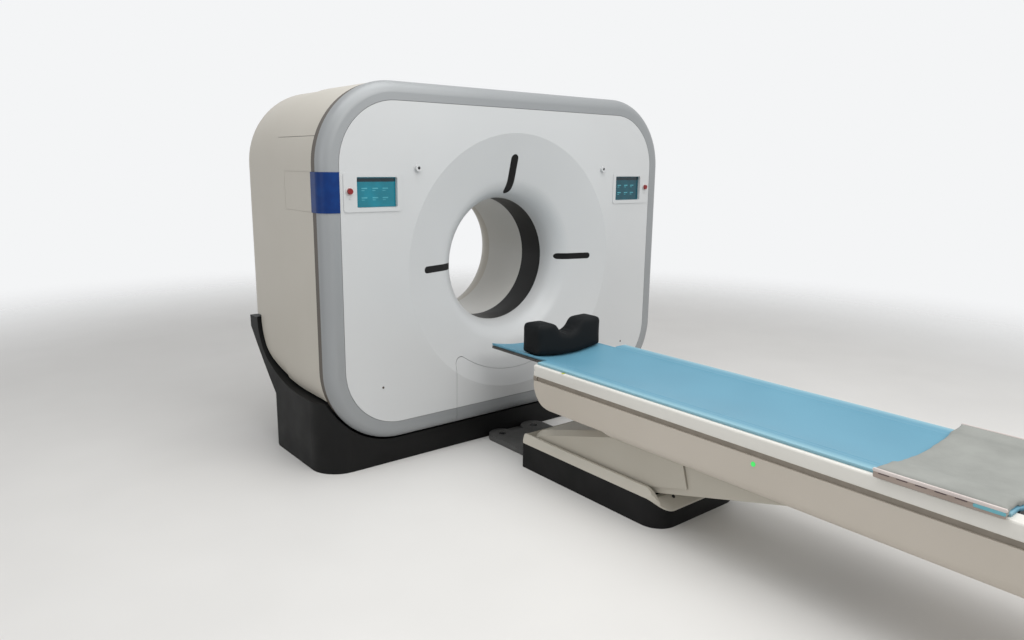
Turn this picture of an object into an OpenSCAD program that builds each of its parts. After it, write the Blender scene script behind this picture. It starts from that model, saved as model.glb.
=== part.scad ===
// CT scanner: a gantry with a rotating scan ring, and a patient table on a parallelogram lift.
// X runs to the right as seen from the table, Y runs into the gantry and Z runs up.
// The origin is on the floor, straight under the point where the bore axis meets the scan plane.

/* [Gantry] */
// Diameter of the patient bore
bore_d = 700; // [660:10:740]
// Height of the bore axis above the floor
axis_h = 995; // [975:5:1015]
// Overall width of the gantry
gantry_w = 2310; // [2250:10:2400]
// Height of the top of the gantry above the bore axis
gantry_rise = 920; // [905:5:960]
// Distance of the underside of the bezel below the bore axis
gantry_drop = 855; // [840:5:860]
// Distance from the scan plane to the flat of the front cover
front_y = 300; // [290:5:320]
// Distance from the scan plane to the back of the gantry
rear_y = 655; // [640:5:700]
// Corner radius of the gantry seen from the front
corner_r = 400; // [380:5:420]
// Wall of the moulded covers
cover_t = 6; // [4:1:8]
// Gap between neighbouring covers
seam = 2; // [1:0.5:4]

/* [Front] */
// Width of the silver bezel seen from the front
bezel_w = 92; // [84:2:96]
// Radius of the rounded edge of the bezel
bezel_round = 56; // [50:1:60]
// Depth of the dark strip behind the bezel
strip_w = 44; // [34:1:50]
// Radius of the rim of the dish round the bore
dish_r = 700; // [680:5:720]
// Radius that rounds the dish into the bore
flare_r = 150; // [130:5:170]
// Depth of the black scan window ring
window_w = 172; // [150:2:190]
// Width of the laser slots at the sides
slot_w = 36; // [28:1:42]
// Width of the laser slot at the top
top_slot_w = 50; // [40:1:56]
// Inner radius that the laser slots span
slot_in = 376; // [372:1:400]
// Outer radius that the laser slots span
slot_out = 590; // [540:2:620]
// Width of the lower service cover
service_w = 824; // [780:4:860]
// Radius of the curved top edge of the lower service cover
service_r = 605; // [580:5:640]

/* [Panels] */
// Width of a touch panel frame
panel_w = 307; // [280:1:320]
// Height of a touch panel frame
panel_h = 182; // [170:1:200]
// Distance from the centre plane to the middle of a touch panel
panel_x = 891; // [870:1:900]
// Height of the middle of a touch panel above the bore axis
panel_rise = 399; // [360:1:420]
// Width of a screen
screen_w = 212; // [180:1:230]
// Height of a screen
screen_h = 139; // [120:1:160]
// Depth of the screens below the front cover
screen_sink = 14; // [10:1:18]
// How far a touch panel stands proud of the front cover
panel_t = 4; // [3:0.5:6]
// Radius of an emergency stop button
stop_r = 13; // [11:1:15]
// Travel of an emergency stop button
stop_travel = 6; // [4:0.5:7]
// Height of the blue panel on the left side of the bezel
blue_h = 186; // [160:2:210]

/* [Sides] */
// Height of the seam between the side covers and the top cover above the bore axis
side_rise = 653; // [610:1:700]
// Depth of the side covers behind the scan plane
side_back = 235; // [200:5:270]
// Distance of the lowest point of the side covers below the bore axis
side_drop = 630; // [610:5:640]
// Radius of the long curve under the side covers
sweep_r1 = 880; // [850:10:900]
// Radius of the tight curve at the back of the side covers
sweep_r2 = 250; // [230:5:270]
// Radius of the flare at the back of the bore
back_flare_r = 232; // [200:4:240]

/* [Base] */
// Width of the base
base_w = 2330; // [2320:5:2350]
// Distance from the scan plane to the front of the base
base_front = 250; // [240:5:260]
// Distance from the scan plane to the back of the base at the floor
base_back = 505; // [480:5:540]
// Radius of the front corners of the base
base_round = 150; // [120:5:200]
// Radius of the back corners of the base
base_tail = 205; // [150:5:240]
// Thickness of the floor of the base
base_floor = 40; // [30:2:50]
// Radius of the anchor bolt holes
anchor_r = 9; // [7:0.5:11]

/* [Scan ring] */
// Outer radius of the rotating drum
drum_r = 800; // [780:5:810]
// Clearance between the main bearing rings
bearing_gap = 0.05; // [0.02:0.01:0.1]
// Distance from the bore axis to the middle of the X-ray tube
tube_dist = 610; // [600:5:640]
// Distance from the focal spot to the face of the detector
detector_dist = 1050; // [1030:5:1060]
// Number of detector modules
detector_modules = 40; // [24:2:48]
// Pitch radius of the drive motor pulley
pulley_r = 63; // [55:1:70]

/* [Table] */
// Width of the table body
table_w = 652; // [640:2:670]
// Height of the top of the side rails at rest
rail_top = 577; // [570:1:585]
// Height of the underside of the table body at rest
body_low = 370; // [365:1:378]
// Distance from the scan plane to the nose of the table body at rest
nose_y = 833; // [825:1:860]
// Length of the table body
body_l = 2417; // [2380:1:2500]
// Distance from the scan plane to the head end of the tabletop at rest
tip_y = 380; // [375:1:400]
// Length of the sliding tabletop
top_l = 2500; // [2440:5:2520]
// Width of the sliding tabletop
top_w = 470; // [440:2:480]
// Radius of the hollow across the tabletop
hollow_r = 1100; // [1000:10:1300]
// Thickness of the tabletop
top_t = 14; // [12:1:18]
// Thickness of the mattress
pad_t = 12; // [8:0.5:14]
// Travel of the tabletop towards the bore at the resting height
slide_in = 100; // [80:5:100]
// Travel of the tabletop away from the bore
slide_out = 350; // [200:10:350]

/* [Lift] */
// Width of the plinth
plinth_w = 576; // [570:2:590]
// Distance from the scan plane to the end of the plinth near the gantry
plinth_front = 704; // [700:1:708]
// Distance from the scan plane to the far end of the plinth
plinth_back = 1622; // [1600:2:1660]
// Height of the dark part of the plinth
plinth_h = 130; // [120:1:136]
// Height of the top of the plinth cap
cap_h = 172; // [165:1:178]
// Distance between the two pivots of a lift arm
arm_l = 1150; // [1140:5:1160]
// Slope of the lift arms at rest
arm_rest = 15.6; // [15:0.1:17]
// Rise of the lift arms from rest to the top
arm_rise = 24.4; // [20:0.2:24.4]
// Distance from the scan plane to the first lift pivot
pivot_y = 840; // [838:1:846]
// Height of the lift pivots in the plinth
pivot_z = 100; // [96:1:104]
// Distance between the pivots of the two arms
pivot_gap = 220; // [210:2:240]
// Radius of the lift pivot pins
pin_r = 18; // [15:1:19]
// Running clearance of pins in their bores
fit_gap = 0.05; // [0.02:0.01:0.1]

/* [Hidden] */
$fn = 96;
bore_r = bore_d / 2;
half_w = gantry_w / 2;
gantry_top = axis_h + gantry_rise;
gantry_bottom = axis_h - gantry_drop;
panel_z = axis_h + panel_rise;
side_top = axis_h + side_rise;
side_low = axis_h - side_drop;
bezel_back = front_y - bezel_round;
cover_front = bezel_back - strip_w;
throat_u = window_w / 2 + 4;
soft_gap = 0.3;

// A run of points along an arc, from angle a0 to angle a1
function arc(c, r, a0, a1, n = 12) =
    [for (i = [0:n]) let (a = a0 + (a1 - a0) * i / n) c + r * [cos(a), sin(a)]];

// Extrudes a front view (X, Z) from y0 to y1
module front_view(y0, y1) {
    translate([0, y1, 0]) rotate([90, 0, 0]) linear_extrude(y1 - y0) children();
}

// Extrudes a side view (Y, Z) from x0 to x1
module side_view(x0, x1) {
    translate([x0, 0, 0]) rotate([90, 0, 90]) linear_extrude(x1 - x0) children();
}

// Extrudes a plan (X, Y) from z0 to z1
module plan_view(z0, z1) {
    translate([0, 0, z0]) linear_extrude(z1 - z0) children();
}

// Turns an outline (radius, distance towards the table) round the bore axis
module about_axis() {
    translate([0, 0, axis_h]) rotate([90, 0, 0]) rotate_extrude($fn = 180) children();
}

module rounded_rect(x0, x1, y0, y1, r) {
    translate([x0 + r, y0]) square([x1 - x0 - 2 * r, y1 - y0]);
    translate([x0, y0 + r]) square([x1 - x0, y1 - y0 - 2 * r]);
    for (x = [x0 + r, x1 - r], y = [y0 + r, y1 - r]) translate([x, y]) circle(r);
}

// The rounded front outline of the gantry, moved in by inset
module gantry_outline(inset) {
    rounded_rect(-half_w + inset, half_w - inset, gantry_bottom + inset, gantry_top - inset,
        corner_r - inset);
}

// Sweeps an outline (distance from the corner centres, distance towards the table) round the gantry
module gantry_sweep() {
    mid = (gantry_top + gantry_bottom) / 2;
    a = half_w - corner_r;
    b = (gantry_top - gantry_bottom) / 2 - corner_r;
    translate([0, 0, mid]) rotate([90, 0, 0]) for (k = [0:3]) {
        side = k % 2 == 0 ? [a, b] : [b, a];
        rotate(90 * k) translate([side[0], side[1], 0]) {
            rotate([90, 0, 0]) linear_extrude(2 * side[1]) children();
            rotate_extrude(angle = 90) children();
        }
    }
}

// A quarter ring of radius r and wall t, facing up and to the right
module quarter_ring(c, r, t) {
    translate(c) difference() {
        circle(r);
        circle(r - t);
        translate([-2 * r, -2 * r]) square([2 * r, 4 * r]);
        translate([-2 * r, -2 * r]) square([4 * r, 2 * r]);
    }
}

// Geometry of the dish: a cone from the rim, rounded into the bore
rim = [dish_r, front_y];
flare_c = [bore_r + flare_r, throat_u];
flare_a = atan2(rim.y - flare_c.y, rim.x - flare_c.x) + acos(flare_r / norm(rim - flare_c));
flare_n = [cos(flare_a), sin(flare_a)];

// The dish from its rim to the scan window, sunk by d (radius, distance towards the table)
rim_land = 30;
function dish_line(d) = concat(
    [[dish_r + rim_land, front_y - d], rim + [d * (flare_n.y - 1) / flare_n.x, -d]],
    arc(flare_c, flare_r - d, flare_a, 180, 16), [[bore_r + d, window_w / 2]]);
function turned(p) = [for (i = [len(p) - 1:-1:0]) p[i]];
module dish_wall(d, t) { polygon(concat(dish_line(d), turned(dish_line(d + t)))); }

// The laser slots at three, twelve and nine o'clock
module slot_outline(grow) {
    translate([0, axis_h]) for (a = [0, 90, 180]) rotate(a) {
        d = a == 90 ? top_slot_w : slot_w;
        w = d / 2 + grow;
        translate([slot_in + d / 2, -w]) square([slot_out - slot_in - d, 2 * w]);
        for (r = [slot_in + d / 2, slot_out - d / 2]) translate([r, 0]) circle(w);
    }
}

// The lower service cover below its curved top edge, with rounded top corners
module service_outline(grow) {
    w = service_w / 2 + grow;
    r = service_r - grow;
    q = 40;
    c = [w - q, axis_h - sqrt(pow(r + q, 2) - pow(w - q, 2))];
    a = atan2(axis_h - c.y, -c.x);
    polygon(concat([[-w, 0], [w, 0]], arc(c, q, 0, a, 10), arc([0, axis_h], r, a - 182, 2 - a, 38),
        arc([-c.x, c.y], q, 180 - a, 180, 10)));
}

module front_shell() {
    front_view(-front_y, -front_y + cover_t) difference() {
        gantry_outline(bezel_w + seam);
        translate([0, axis_h]) circle(dish_r + rim_land, $fn = 180);
    }
    about_axis() dish_wall(0, cover_t);
}

module front_cover() {
    color("whitesmoke") difference() {
        front_shell();
        front_view(-front_y - 1, -front_y + flare_r) service_outline(seam / 2);
        front_view(-front_y - 1, -throat_u) slot_outline(0);
        for (s = [-1, 1]) front_view(-front_y - 1, -front_y + 2 * cover_t)
            translate([s * stop_x, stop_z]) circle(stem_r + 3);
        for (s = [-1, 1]) front_view(-front_y - 1, -front_y + 2 * cover_t) screen_outline(s, tray_wall + 0.5);
    }
}

module lower_front_cover() {
    color("whitesmoke") {
        intersection() {
            front_shell();
            front_view(-front_y - 1, -front_y + flare_r) service_outline(-seam / 2);
        }
        // Tabs that hold it behind the front cover
        for (s = [-1, 1], z = [115, 175])
            translate([s * service_w / 2 - 16, -front_y + cover_t, gantry_bottom + z]) cube([32, 4, 40]);
    }
}

module bezel_section() {
    d = corner_r - bezel_round;
    quarter_ring([d, bezel_back], bezel_round, cover_t);
    translate([corner_r - bezel_w, front_y - cover_t]) square([bezel_w - bezel_round, cover_t]);
    translate([corner_r - 16, bezel_back]) square([12, cover_t]);
}

module front_bezel() {
    color("silver") difference() {
        gantry_sweep() bezel_section();
        translate([-service_w / 2 - seam, -front_y - 1, gantry_bottom - 1])
            cube([service_w + 2 * seam, bezel_round + 2, bezel_w + 2]);
    }
}

module lower_bezel() {
    color("silver") translate([0, 0, gantry_bottom + corner_r]) rotate([90, 0, 0]) rotate(-90)
        translate([0, service_w / 2, 0]) rotate([90, 0, 0]) linear_extrude(service_w) bezel_section();
}

module shadow_strip() {
    color("dimgray") gantry_sweep() translate([corner_r - 19, cover_front]) square([16, strip_w]);
}

module blue_panel() {
    color("darkblue") translate([-half_w + corner_r, 0, panel_z - blue_h / 2]) linear_extrude(blue_h) mirror([0, 1]) {
        mirror([1, 0]) {
            quarter_ring([corner_r - bezel_round, bezel_back], bezel_round + 3, 3);
            translate([corner_r - 3, cover_front]) square([6, strip_w]);
            translate([corner_r - bezel_w, front_y]) square([bezel_w - bezel_round, 3]);
        }
    }
}

// The long curve that the side covers and the base share, raised by gap
sweep_a = 27;
sweep_c1 = [20, side_low + sweep_r1];
sweep_c2 = sweep_c1 + (sweep_r1 - sweep_r2) * [sin(sweep_a), -cos(sweep_a)];
wing_top = sweep_c2.y;
function sweep(gap) = concat(
    arc(sweep_c1, sweep_r1 - gap, -90, sweep_a - 90, 10),
    arc(sweep_c2, sweep_r2 - gap, sweep_a - 90, 0, 10));

// What the side wings of the base and a gap round them take from the covers
module wing_space(gap) {
    polygon(concat([[-front_y - 1, gantry_bottom - 10], [-front_y - 1, side_low + gap]], sweep(gap),
        [[sweep_c2.x + sweep_r2 - gap, wing_top + gap], [rear_y + 20, wing_top + gap],
        [rear_y + 20, gantry_bottom - 10]]));
}

cover_gap = 12;
wing_t = 85;
side_inset = 3;

// Wall and front flange of the covers round the sides and the top
module cover_ring() {
    front_view(-cover_front, side_back) difference() {
        gantry_outline(side_inset);
        gantry_outline(side_inset + cover_t);
    }
    front_view(-cover_front, -cover_front + cover_t) difference() {
        gantry_outline(side_inset);
        gantry_outline(side_inset + 4 * cover_t);
    }
}

module side_cover(s) {
    color("linen") difference() {
        cover_ring();
        front_view(-cover_front - 1, side_back + 1) {
            translate([-half_w, side_top]) square([gantry_w, gantry_top]);
            translate([s > 0 ? -half_w : -half_w + corner_r, 0]) square([gantry_w - corner_r, gantry_top]);
        }
        side_view(-half_w - 1, half_w + 1) wing_space(cover_gap);
        if (s < 0) side_seam();
    }
}

// The shallow rectangular seam behind the blue panel
module side_seam() {
    y1 = -cover_front + 311;
    for (z = [panel_z - blue_h / 2, panel_z + blue_h / 2 - seam])
        translate([-half_w + side_inset - 1, -cover_front - 1, z]) cube([3, y1 + cover_front + 1, seam]);
    translate([-half_w + side_inset - 1, y1 - seam, panel_z - blue_h / 2]) cube([3, seam, blue_h]);
}

module side_cover_left() { side_cover(-1); }
module side_cover_right() { side_cover(1); }

// Centre of the exhaust fan in the top of the gantry
fan_x = 420;
fan_y = 20;
fan_r = 95;

module top_cover() {
    color("whitesmoke") difference() {
        cover_ring();
        front_view(-cover_front - 1, side_back + 1) translate([-half_w, 0]) square([gantry_w, side_top + seam]);
        for (i = [-4:4]) translate([fan_x + i * 20 - 5, fan_y - 80, gantry_top - side_inset - cover_t - 1])
            cube([10, 160, cover_t + 2]);
    }
}

back_inset = 10;
back_round = 70;

module rear_cover() {
    color("whitesmoke") difference() {
        union() {
            gantry_sweep() {
                translate([corner_r - back_inset - cover_t, -rear_y + back_round])
                    square([cover_t, rear_y - back_round - side_back - seam]);
                mirror([0, 1]) quarter_ring([corner_r - back_inset - back_round, rear_y - back_round],
                    back_round, cover_t);
            }
            front_view(rear_y - cover_t, rear_y) difference() {
                gantry_outline(back_inset + back_round);
                translate([0, axis_h]) circle(bore_r + back_flare_r, $fn = 180);
            }
            about_axis() mirror([0, 1]) translate([bore_r + back_flare_r, rear_y - back_flare_r])
                mirror([1, 0]) quarter_ring([0, 0], back_flare_r, cover_t);
        }
        for (s = [-1, 1]) translate([s * (base_w - wing_t) / 2, 0, 0])
            side_view(-wing_t / 2 - cover_gap, wing_t / 2 + cover_gap) wing_space(cover_gap);
        // Room for the frame's legs
        translate([-leg_x - seam, side_back, 0])
            cube([2 * (leg_x + seam), frame_y1 + seam - side_back, leg_top]);
    }
}

module tunnel_liner() {
    color("gainsboro") about_axis() translate([bore_r, -rear_y + back_flare_r])
        square([cover_t, rear_y - back_flare_r - window_w / 2]);
}

module scan_window() {
    color("black") about_axis() translate([bore_r, -window_w / 2]) square([3, window_w]);
}

module laser_windows() {
    color("black") intersection() {
        about_axis() dish_wall(1.5, 3);
        front_view(-front_y - 1, -throat_u) slot_outline(0);
    }
}

stop_x = panel_x + panel_w / 2 - 29;
stop_z = panel_z + 6;
stem_r = 6;

// The outline of a screen, and of its tray in the front cover
screen_x = panel_x - 23;
tray_wall = 6;
module screen_outline(s, grow) {
    rounded_rect(s * screen_x - screen_w / 2 - grow, s * screen_x + screen_w / 2 + grow,
        panel_z - screen_h / 2 - grow, panel_z + screen_h / 2 + grow, 4 + grow);
}

module touch_panel(s) {
    color("white") difference() {
        union() {
            front_view(-front_y - panel_t, -front_y)
                rounded_rect(s * panel_x - panel_w / 2, s * panel_x + panel_w / 2,
                    panel_z - panel_h / 2, panel_z + panel_h / 2, 14);
            front_view(-front_y - 1, -front_y + screen_sink + 3) screen_outline(s, tray_wall);
        }
        front_view(-front_y - panel_t - 1, -front_y + screen_sink) screen_outline(s, 2);
        front_view(-front_y - panel_t - 1, -front_y + 1) translate([s * stop_x, stop_z]) circle(stem_r + 0.1);
        front_view(-front_y - panel_t - 1, -front_y - panel_t + 2)
            translate([s * stop_x, stop_z - 38]) circle(5);
    }
    color("silver") front_view(-front_y - panel_t - 5, -front_y - panel_t)
        translate([s * stop_x, stop_z]) difference() {
            circle(stop_r + 5);
            circle(stop_r + 0.5);
        }
}

module touch_panel_left() { touch_panel(-1); }
module touch_panel_right() { touch_panel(1); }

module touch_screens() {
    color("teal") for (s = [-1, 1]) front_view(-front_y + screen_sink - 2, -front_y + screen_sink)
        screen_outline(s, 0);
}

module stop_button(s) {
    face = front_y + panel_t;
    color("red") {
        front_view(-face - stop_travel - 9, -face - stop_travel - 0.5) translate([s * stop_x, stop_z]) circle(stop_r);
        front_view(-face - stop_travel - 0.5, -face + 6) translate([s * stop_x, stop_z]) circle(stem_r);
    }
}

module stop_button_left() { stop_button(-1); }
module stop_button_right() { stop_button(1); }

// Small cameras that watch the patient from the front cover
camera_x = 642;
camera_z = axis_h + 513;
module patient_cameras() {
    color("white") for (s = [-1, 1]) difference() {
        front_view(-front_y - 14, -front_y) translate([s * camera_x, camera_z]) circle(17);
        front_view(-front_y - 15, -front_y - 9) translate([s * camera_x, camera_z]) circle(8);
    }
}

// Outline of a side wing of the base, from the floor to its swept-up tail
module wing_outline() {
    step = cover_front - 4;
    sill = gantry_bottom - cover_gap;
    tail = [rear_y + 3, wing_top - 68];
    bend = [490, gantry_bottom + 290];
    foot = [330, gantry_bottom + 150];
    polygon(concat([[-base_front, 0], [-base_front, sill], [-step, sill], [-step, side_low]], sweep(0),
        [[sweep_c2.x + sweep_r2, wing_top - 4], [rear_y + 7, wing_top - 4]],
        [for (i = [0:8]) let (t = i / 8) pow(1 - t, 2) * tail + 2 * t * (1 - t) * bend + pow(t, 2) * foot],
        [[foot.x, 0]]));
}

// Plan of the base up to y1, moved in by inset
module base_plan(y1, inset) {
    w = base_w / 2 - inset;
    difference() {
        translate([-w, -base_front + inset]) square([2 * w, y1 + base_front - 2 * inset]);
        for (m = [0, 1]) mirror([m, 0]) {
            corner(w, -base_front + inset, base_round - inset, 1);
            corner(w, y1 - inset, base_tail - inset, -1);
        }
    }
}

base_wall = 40;
anchor_x = 950;
anchor_y0 = -150;
anchor_y1 = 420;

module gantry_base() {
    color([0.15, 0.15, 0.15]) difference() {
        union() {
            plan_view(0, base_floor) base_plan(base_back, 0);
            // The wall round the base follows the outline of the bezel
            difference() {
                plan_view(base_floor - 1, side_low) difference() {
                    base_plan(base_back, 0);
                    base_plan(base_back, base_wall);
                }
                front_view(-base_front - 1, base_back + 1) gantry_outline(-cover_gap);
            }
            intersection() {
                plan_view(0, wing_top) base_plan(rear_y + 300, 0);
                for (s = [-1, 1]) translate([s * (base_w - wing_t) / 2, 0, 0])
                    side_view(-wing_t / 2, wing_t / 2) wing_outline();
            }
        }
        for (x = [-anchor_x, anchor_x], y = [anchor_y0, anchor_y1])
            translate([x, y, -1]) cylinder(r = anchor_r, h = base_floor + 2);
    }
}

// Frame that carries the bearing and the covers
frame_y0 = 205;
frame_y1 = 265;
race_in = 400;
race_mid = 440;
race_out = 490;
leg_x = 980;
motor_x = -800;
motor_z = axis_h - 695;
leg_top = axis_h - 515;

module frame_plate(y0, y1, inset) {
    front_view(y0, y1) difference() {
        gantry_outline(inset);
        translate([-half_w, 0]) square([gantry_w, leg_top]);
    }
}

module stator_frame() {
    color("slategray") difference() {
        union() {
            frame_plate(frame_y0, frame_y1, back_inset + cover_t);
            frame_plate(frame_y0, side_back, side_inset + cover_t);
            front_view(frame_y0, frame_y1) translate([-leg_x, base_floor])
                square([2 * leg_x, leg_top - base_floor]);
            for (s = [-1, 1]) {
                translate([s * 960, -front_y + cover_t, axis_h - 575]) rotate([-90, 0, 0])
                    cylinder(r = 20, h = frame_y0 + front_y - cover_t);
                translate([s * 870, -front_y + cover_t, axis_h + 605]) rotate([-90, 0, 0])
                    cylinder(r = 20, h = frame_y0 + front_y - cover_t);
            }
        }
        front_view(frame_y0 - 1, frame_y1 + 1) {
            translate([0, axis_h]) circle(race_out, $fn = 180);
            translate([motor_x, motor_z]) circle(30);
            for (s = [-1, 1], z = [axis_h + 380, axis_h - 60]) translate([s * 800, z]) circle(120);
        }
    }
}

module ring(r0, r1, y0, y1) {
    about_axis() translate([r0, -y1]) square([r1 - r0, y1 - y0]);
}

module bearing_outer() {
    color("silver") ring(race_mid + bearing_gap, race_out, frame_y0, frame_y1);
}

module bearing_inner() {
    color("gray") ring(race_in, race_mid, frame_y0, frame_y1);
}

disc_y0 = 120;
disc_y1 = 150;
hub_r = 385;
slip_y0 = 290;
slip_y1 = 310;

// The drum disc, its rim and the hub that carries the bearing and the slip ring
module rotor_drum() {
    color("lightsteelblue") difference() {
        union() {
            ring(hub_r, drum_r, disc_y0, disc_y1);
            ring(drum_r - 30, drum_r, -60, disc_y1);
            ring(hub_r, race_in, disc_y0, slip_y1);
        }
        front_view(disc_y0 - 1, disc_y1 + 1) translate([0, axis_h])
            for (a = [35, 145]) rotate(a) translate([600, 0]) circle(70);
    }
}

module slip_ring() {
    color("goldenrod") difference() {
        ring(race_in, 560, slip_y0, slip_y1);
        for (r = [430, 460, 490, 520]) ring(r, r + 12, slip_y1 - 3, slip_y1 + 1);
    }
}

module brush_block() {
    color("dimgray") {
        front_view(slip_y1 + soft_gap, slip_y1 + 50) translate([-80, axis_h + 420]) square([160, 180]);
        front_view(frame_y1, slip_y1 + 50) translate([-80, axis_h + 572]) square([160, 28]);
    }
}

module xray_tube() {
    color("gray") {
        front_view(-110, 100) translate([0, axis_h + tube_dist]) circle(90);
        front_view(-130, disc_y0) translate([0, axis_h + tube_dist]) circle(60);
    }
    color("firebrick") for (s = [-1, 1]) front_view(60, disc_y0) translate([s * 110, axis_h + tube_dist]) circle(24);
}

module collimator() {
    color("darkgray") difference() {
        union() {
            front_view(-60, 60) translate([-110, axis_h + 430]) square([220, tube_dist - 520]);
            front_view(60, disc_y0) translate([-80, axis_h + 440]) square([160, 60]);
        }
        front_view(-20, 20) translate([0, axis_h + tube_dist]) polygon([[0, 0], [-110, -200], [110, -200]]);
    }
}

detector_a = 27;
detector_t = 50;

// The curved detector: a bed centred on the focal spot with a rib for each module
module detector_arc() {
    f = [0, axis_h + tube_dist];
    color("darkslategray") {
        front_view(-70, disc_y0) translate(f) difference() {
            circle(detector_dist + detector_t, $fn = 240);
            circle(detector_dist + 20, $fn = 240);
            for (s = [0, 1]) mirror([s, 0]) rotate(detector_a - 90) translate([0, 0]) square([3000, 3000]);
            translate([-1500, 0]) square([3000, 1500]);
        }
        front_view(-60, 60) translate(f) for (i = [0:detector_modules - 1])
            rotate(-90 - detector_a + 1 + i * (2 * detector_a - 2) / (detector_modules - 1))
                translate([detector_dist, -8]) square([22, 16]);
    }
}

module hv_generator() {
    color("steelblue") difference() {
        front_view(-90, disc_y0) translate([-730, axis_h - 75]) square([210, 150]);
        for (i = [-2:2]) front_view(-91, -80) translate([-700, axis_h + i * 28 - 4]) square([150, 8]);
    }
}

module heat_exchanger() {
    color("lightgray") {
        front_view(60, disc_y0) translate([520, axis_h - 120]) square([210, 240]);
        for (i = [0:11]) front_view(-90, 60) translate([524 + i * 18, axis_h - 110]) square([4, 220]);
        front_view(-60, 60) translate([520, axis_h - 90]) square([208, 14]);
        front_view(-60, 60) translate([520, axis_h + 76]) square([208, 14]);
    }
}

module counterweights() {
    color("gray") for (w = [[-112, 7.9], [112, 4.4]]) front_view(0, disc_y0) translate([0, axis_h]) rotate(w[0])
        difference() {
            circle(drum_r - 40);
            circle(drum_r - 180);
            for (s = [0, 1]) mirror([s, 0]) rotate(-w[1]) translate([0, -1500]) square([1500, 3000]);
        }
}

// The belt runs round the drum and the motor pulley
belt_t = 6;
belt_y0 = 122;
belt_y1 = 146;
belt_d = norm([motor_x, axis_h - motor_z]);
belt_line = atan2(axis_h - motor_z, -motor_x);

module belt_outline(r0, r1) {
    b = asin((r0 - r1) / belt_d);
    translate([motor_x, motor_z]) rotate(belt_line) polygon(concat(
        arc([0, 0], r1, 90 + b, 270 - b, 24), arc([belt_d, 0], r0, -90 - b, 90 + b, 120)));
}

module drive_belt() {
    color([0.1, 0.1, 0.1]) front_view(belt_y0, belt_y1) difference() {
        belt_outline(drum_r + soft_gap + belt_t, pulley_r + soft_gap + belt_t);
        belt_outline(drum_r + soft_gap, pulley_r + soft_gap);
    }
}

module motor_pulley() {
    color("silver") {
        front_view(disc_y0 - 4, disc_y1 + 4) translate([motor_x, motor_z]) difference() {
            circle(pulley_r);
            for (a = [0:60:300]) rotate(a) translate([pulley_r * 0.58, 0]) circle(11);
        }
        front_view(disc_y1 + 4, frame_y1 + 120) translate([motor_x, motor_z]) circle(15);
    }
}

module drive_motor() {
    color("dimgray") difference() {
        union() {
            front_view(frame_y1, frame_y1 + 15) translate([motor_x - 80, motor_z - 80]) square([160, 160]);
            front_view(frame_y1 + 15, frame_y1 + 170) translate([motor_x, motor_z]) circle(76);
        }
        front_view(frame_y1 - 1, frame_y1 + 130) translate([motor_x, motor_z]) circle(15 + fit_gap);
    }
}

fan_low = gantry_top - side_inset - cover_t - 60;
module fan_frame() {
    color("dimgray") difference() {
        union() {
            difference() {
                translate([fan_x - fan_r - 12, fan_y - fan_r - 12, fan_low])
                    cube([2 * fan_r + 24, 2 * fan_r + 24, 60]);
                translate([fan_x, fan_y, fan_low - 1]) cylinder(r = fan_r, h = 62);
            }
            for (a = [0:90:270]) translate([fan_x, fan_y, fan_low]) rotate(a + 45)
                translate([0, -5, 0]) cube([fan_r + 2, 10, 8]);
            translate([fan_x, fan_y, fan_low]) cylinder(r = 24, h = 12);
        }
        translate([fan_x, fan_y, fan_low - 1]) cylinder(r = 5 + fit_gap, h = 14);
    }
}

module fan_rotor() {
    color("black") translate([fan_x, fan_y, fan_low]) {
        cylinder(r = 5, h = 16);
        translate([0, 0, 13]) cylinder(r = 30, h = 35);
        for (a = [0:45:315]) rotate(a) translate([24, 0, 31]) rotate([35, 0, 0])
            translate([0, -2, -17]) cube([fan_r - 30, 4, 34]);
    }
}

module power_unit() {
    color("lightgray") difference() {
        translate([330, frame_y1, axis_h - 805]) cube([420, 170, 280]);
        for (i = [0:6]) translate([360, frame_y1 + 169, axis_h - 770 + i * 32]) cube([360, 3, 14]);
    }
}

bridge_r = 76;
bridge_y = base_front + bridge_r;
bridge_t = 30;
bolt_x = 116;
bolt_seat = 18;
module floor_bridge() {
    color("dimgray") difference() {
        union() {
            plan_view(0, bridge_t) {
                translate([-bolt_x - bridge_r, -plinth_front])
                    square([2 * (bolt_x + bridge_r), plinth_front - bridge_y]);
                for (s = [-1, 1]) translate([s * bolt_x, -bridge_y]) circle(bridge_r);
            }
            plan_view(0, 12) translate([-bolt_x, -bridge_y - 1]) square([2 * bolt_x, bridge_r + 1]);
        }
        for (s = [-1, 1]) translate([s * bolt_x, -bridge_y, 0]) {
            translate([0, 0, -1]) cylinder(r = anchor_r, h = bridge_t + 2);
            translate([0, 0, bolt_seat]) cylinder(r = 2.4 * anchor_r, h = bridge_t);
        }
    }
}

module anchor_bolts() {
    color("silver") for (s = [-1, 1]) translate([s * bolt_x, -bridge_y, 0]) {
        cylinder(r = anchor_r - 0.5, h = bolt_seat);
        translate([0, 0, bolt_seat]) cylinder(r = 2 * anchor_r, h = 3);
        translate([0, 0, bolt_seat + 3]) cylinder(r = 1.5 * anchor_r, h = 9, $fn = 6);
    }
}

// The lift: two parallel arms of equal length, lower pivots in the plinth and upper pivots in the carriage
pivot_a = [-pivot_y, pivot_z];
pivot_b = [-pivot_y - pivot_gap, pivot_z];
reach = arm_l * [-cos(arm_rest), sin(arm_rest)];
arm_w = 35;
boss_r = 40;
arm1_x = [140, 160];
arm2_x = [100, 120];
hang1_x = [165, 183];
hang2_x = [124, 136];
tube_r = 14;
eye_s = 465.7;
eye_t = 59.9;
eye_pin = 10;
eye_play = 2.7;
drive_pivot = [-pivot_y - 465.3, pivot_z - 64.9];

// Side view outlines given along an arm (s) and above it (t)
module along(p) { translate(p) rotate(-arm_rest) mirror([1, 0]) children(); }

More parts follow.
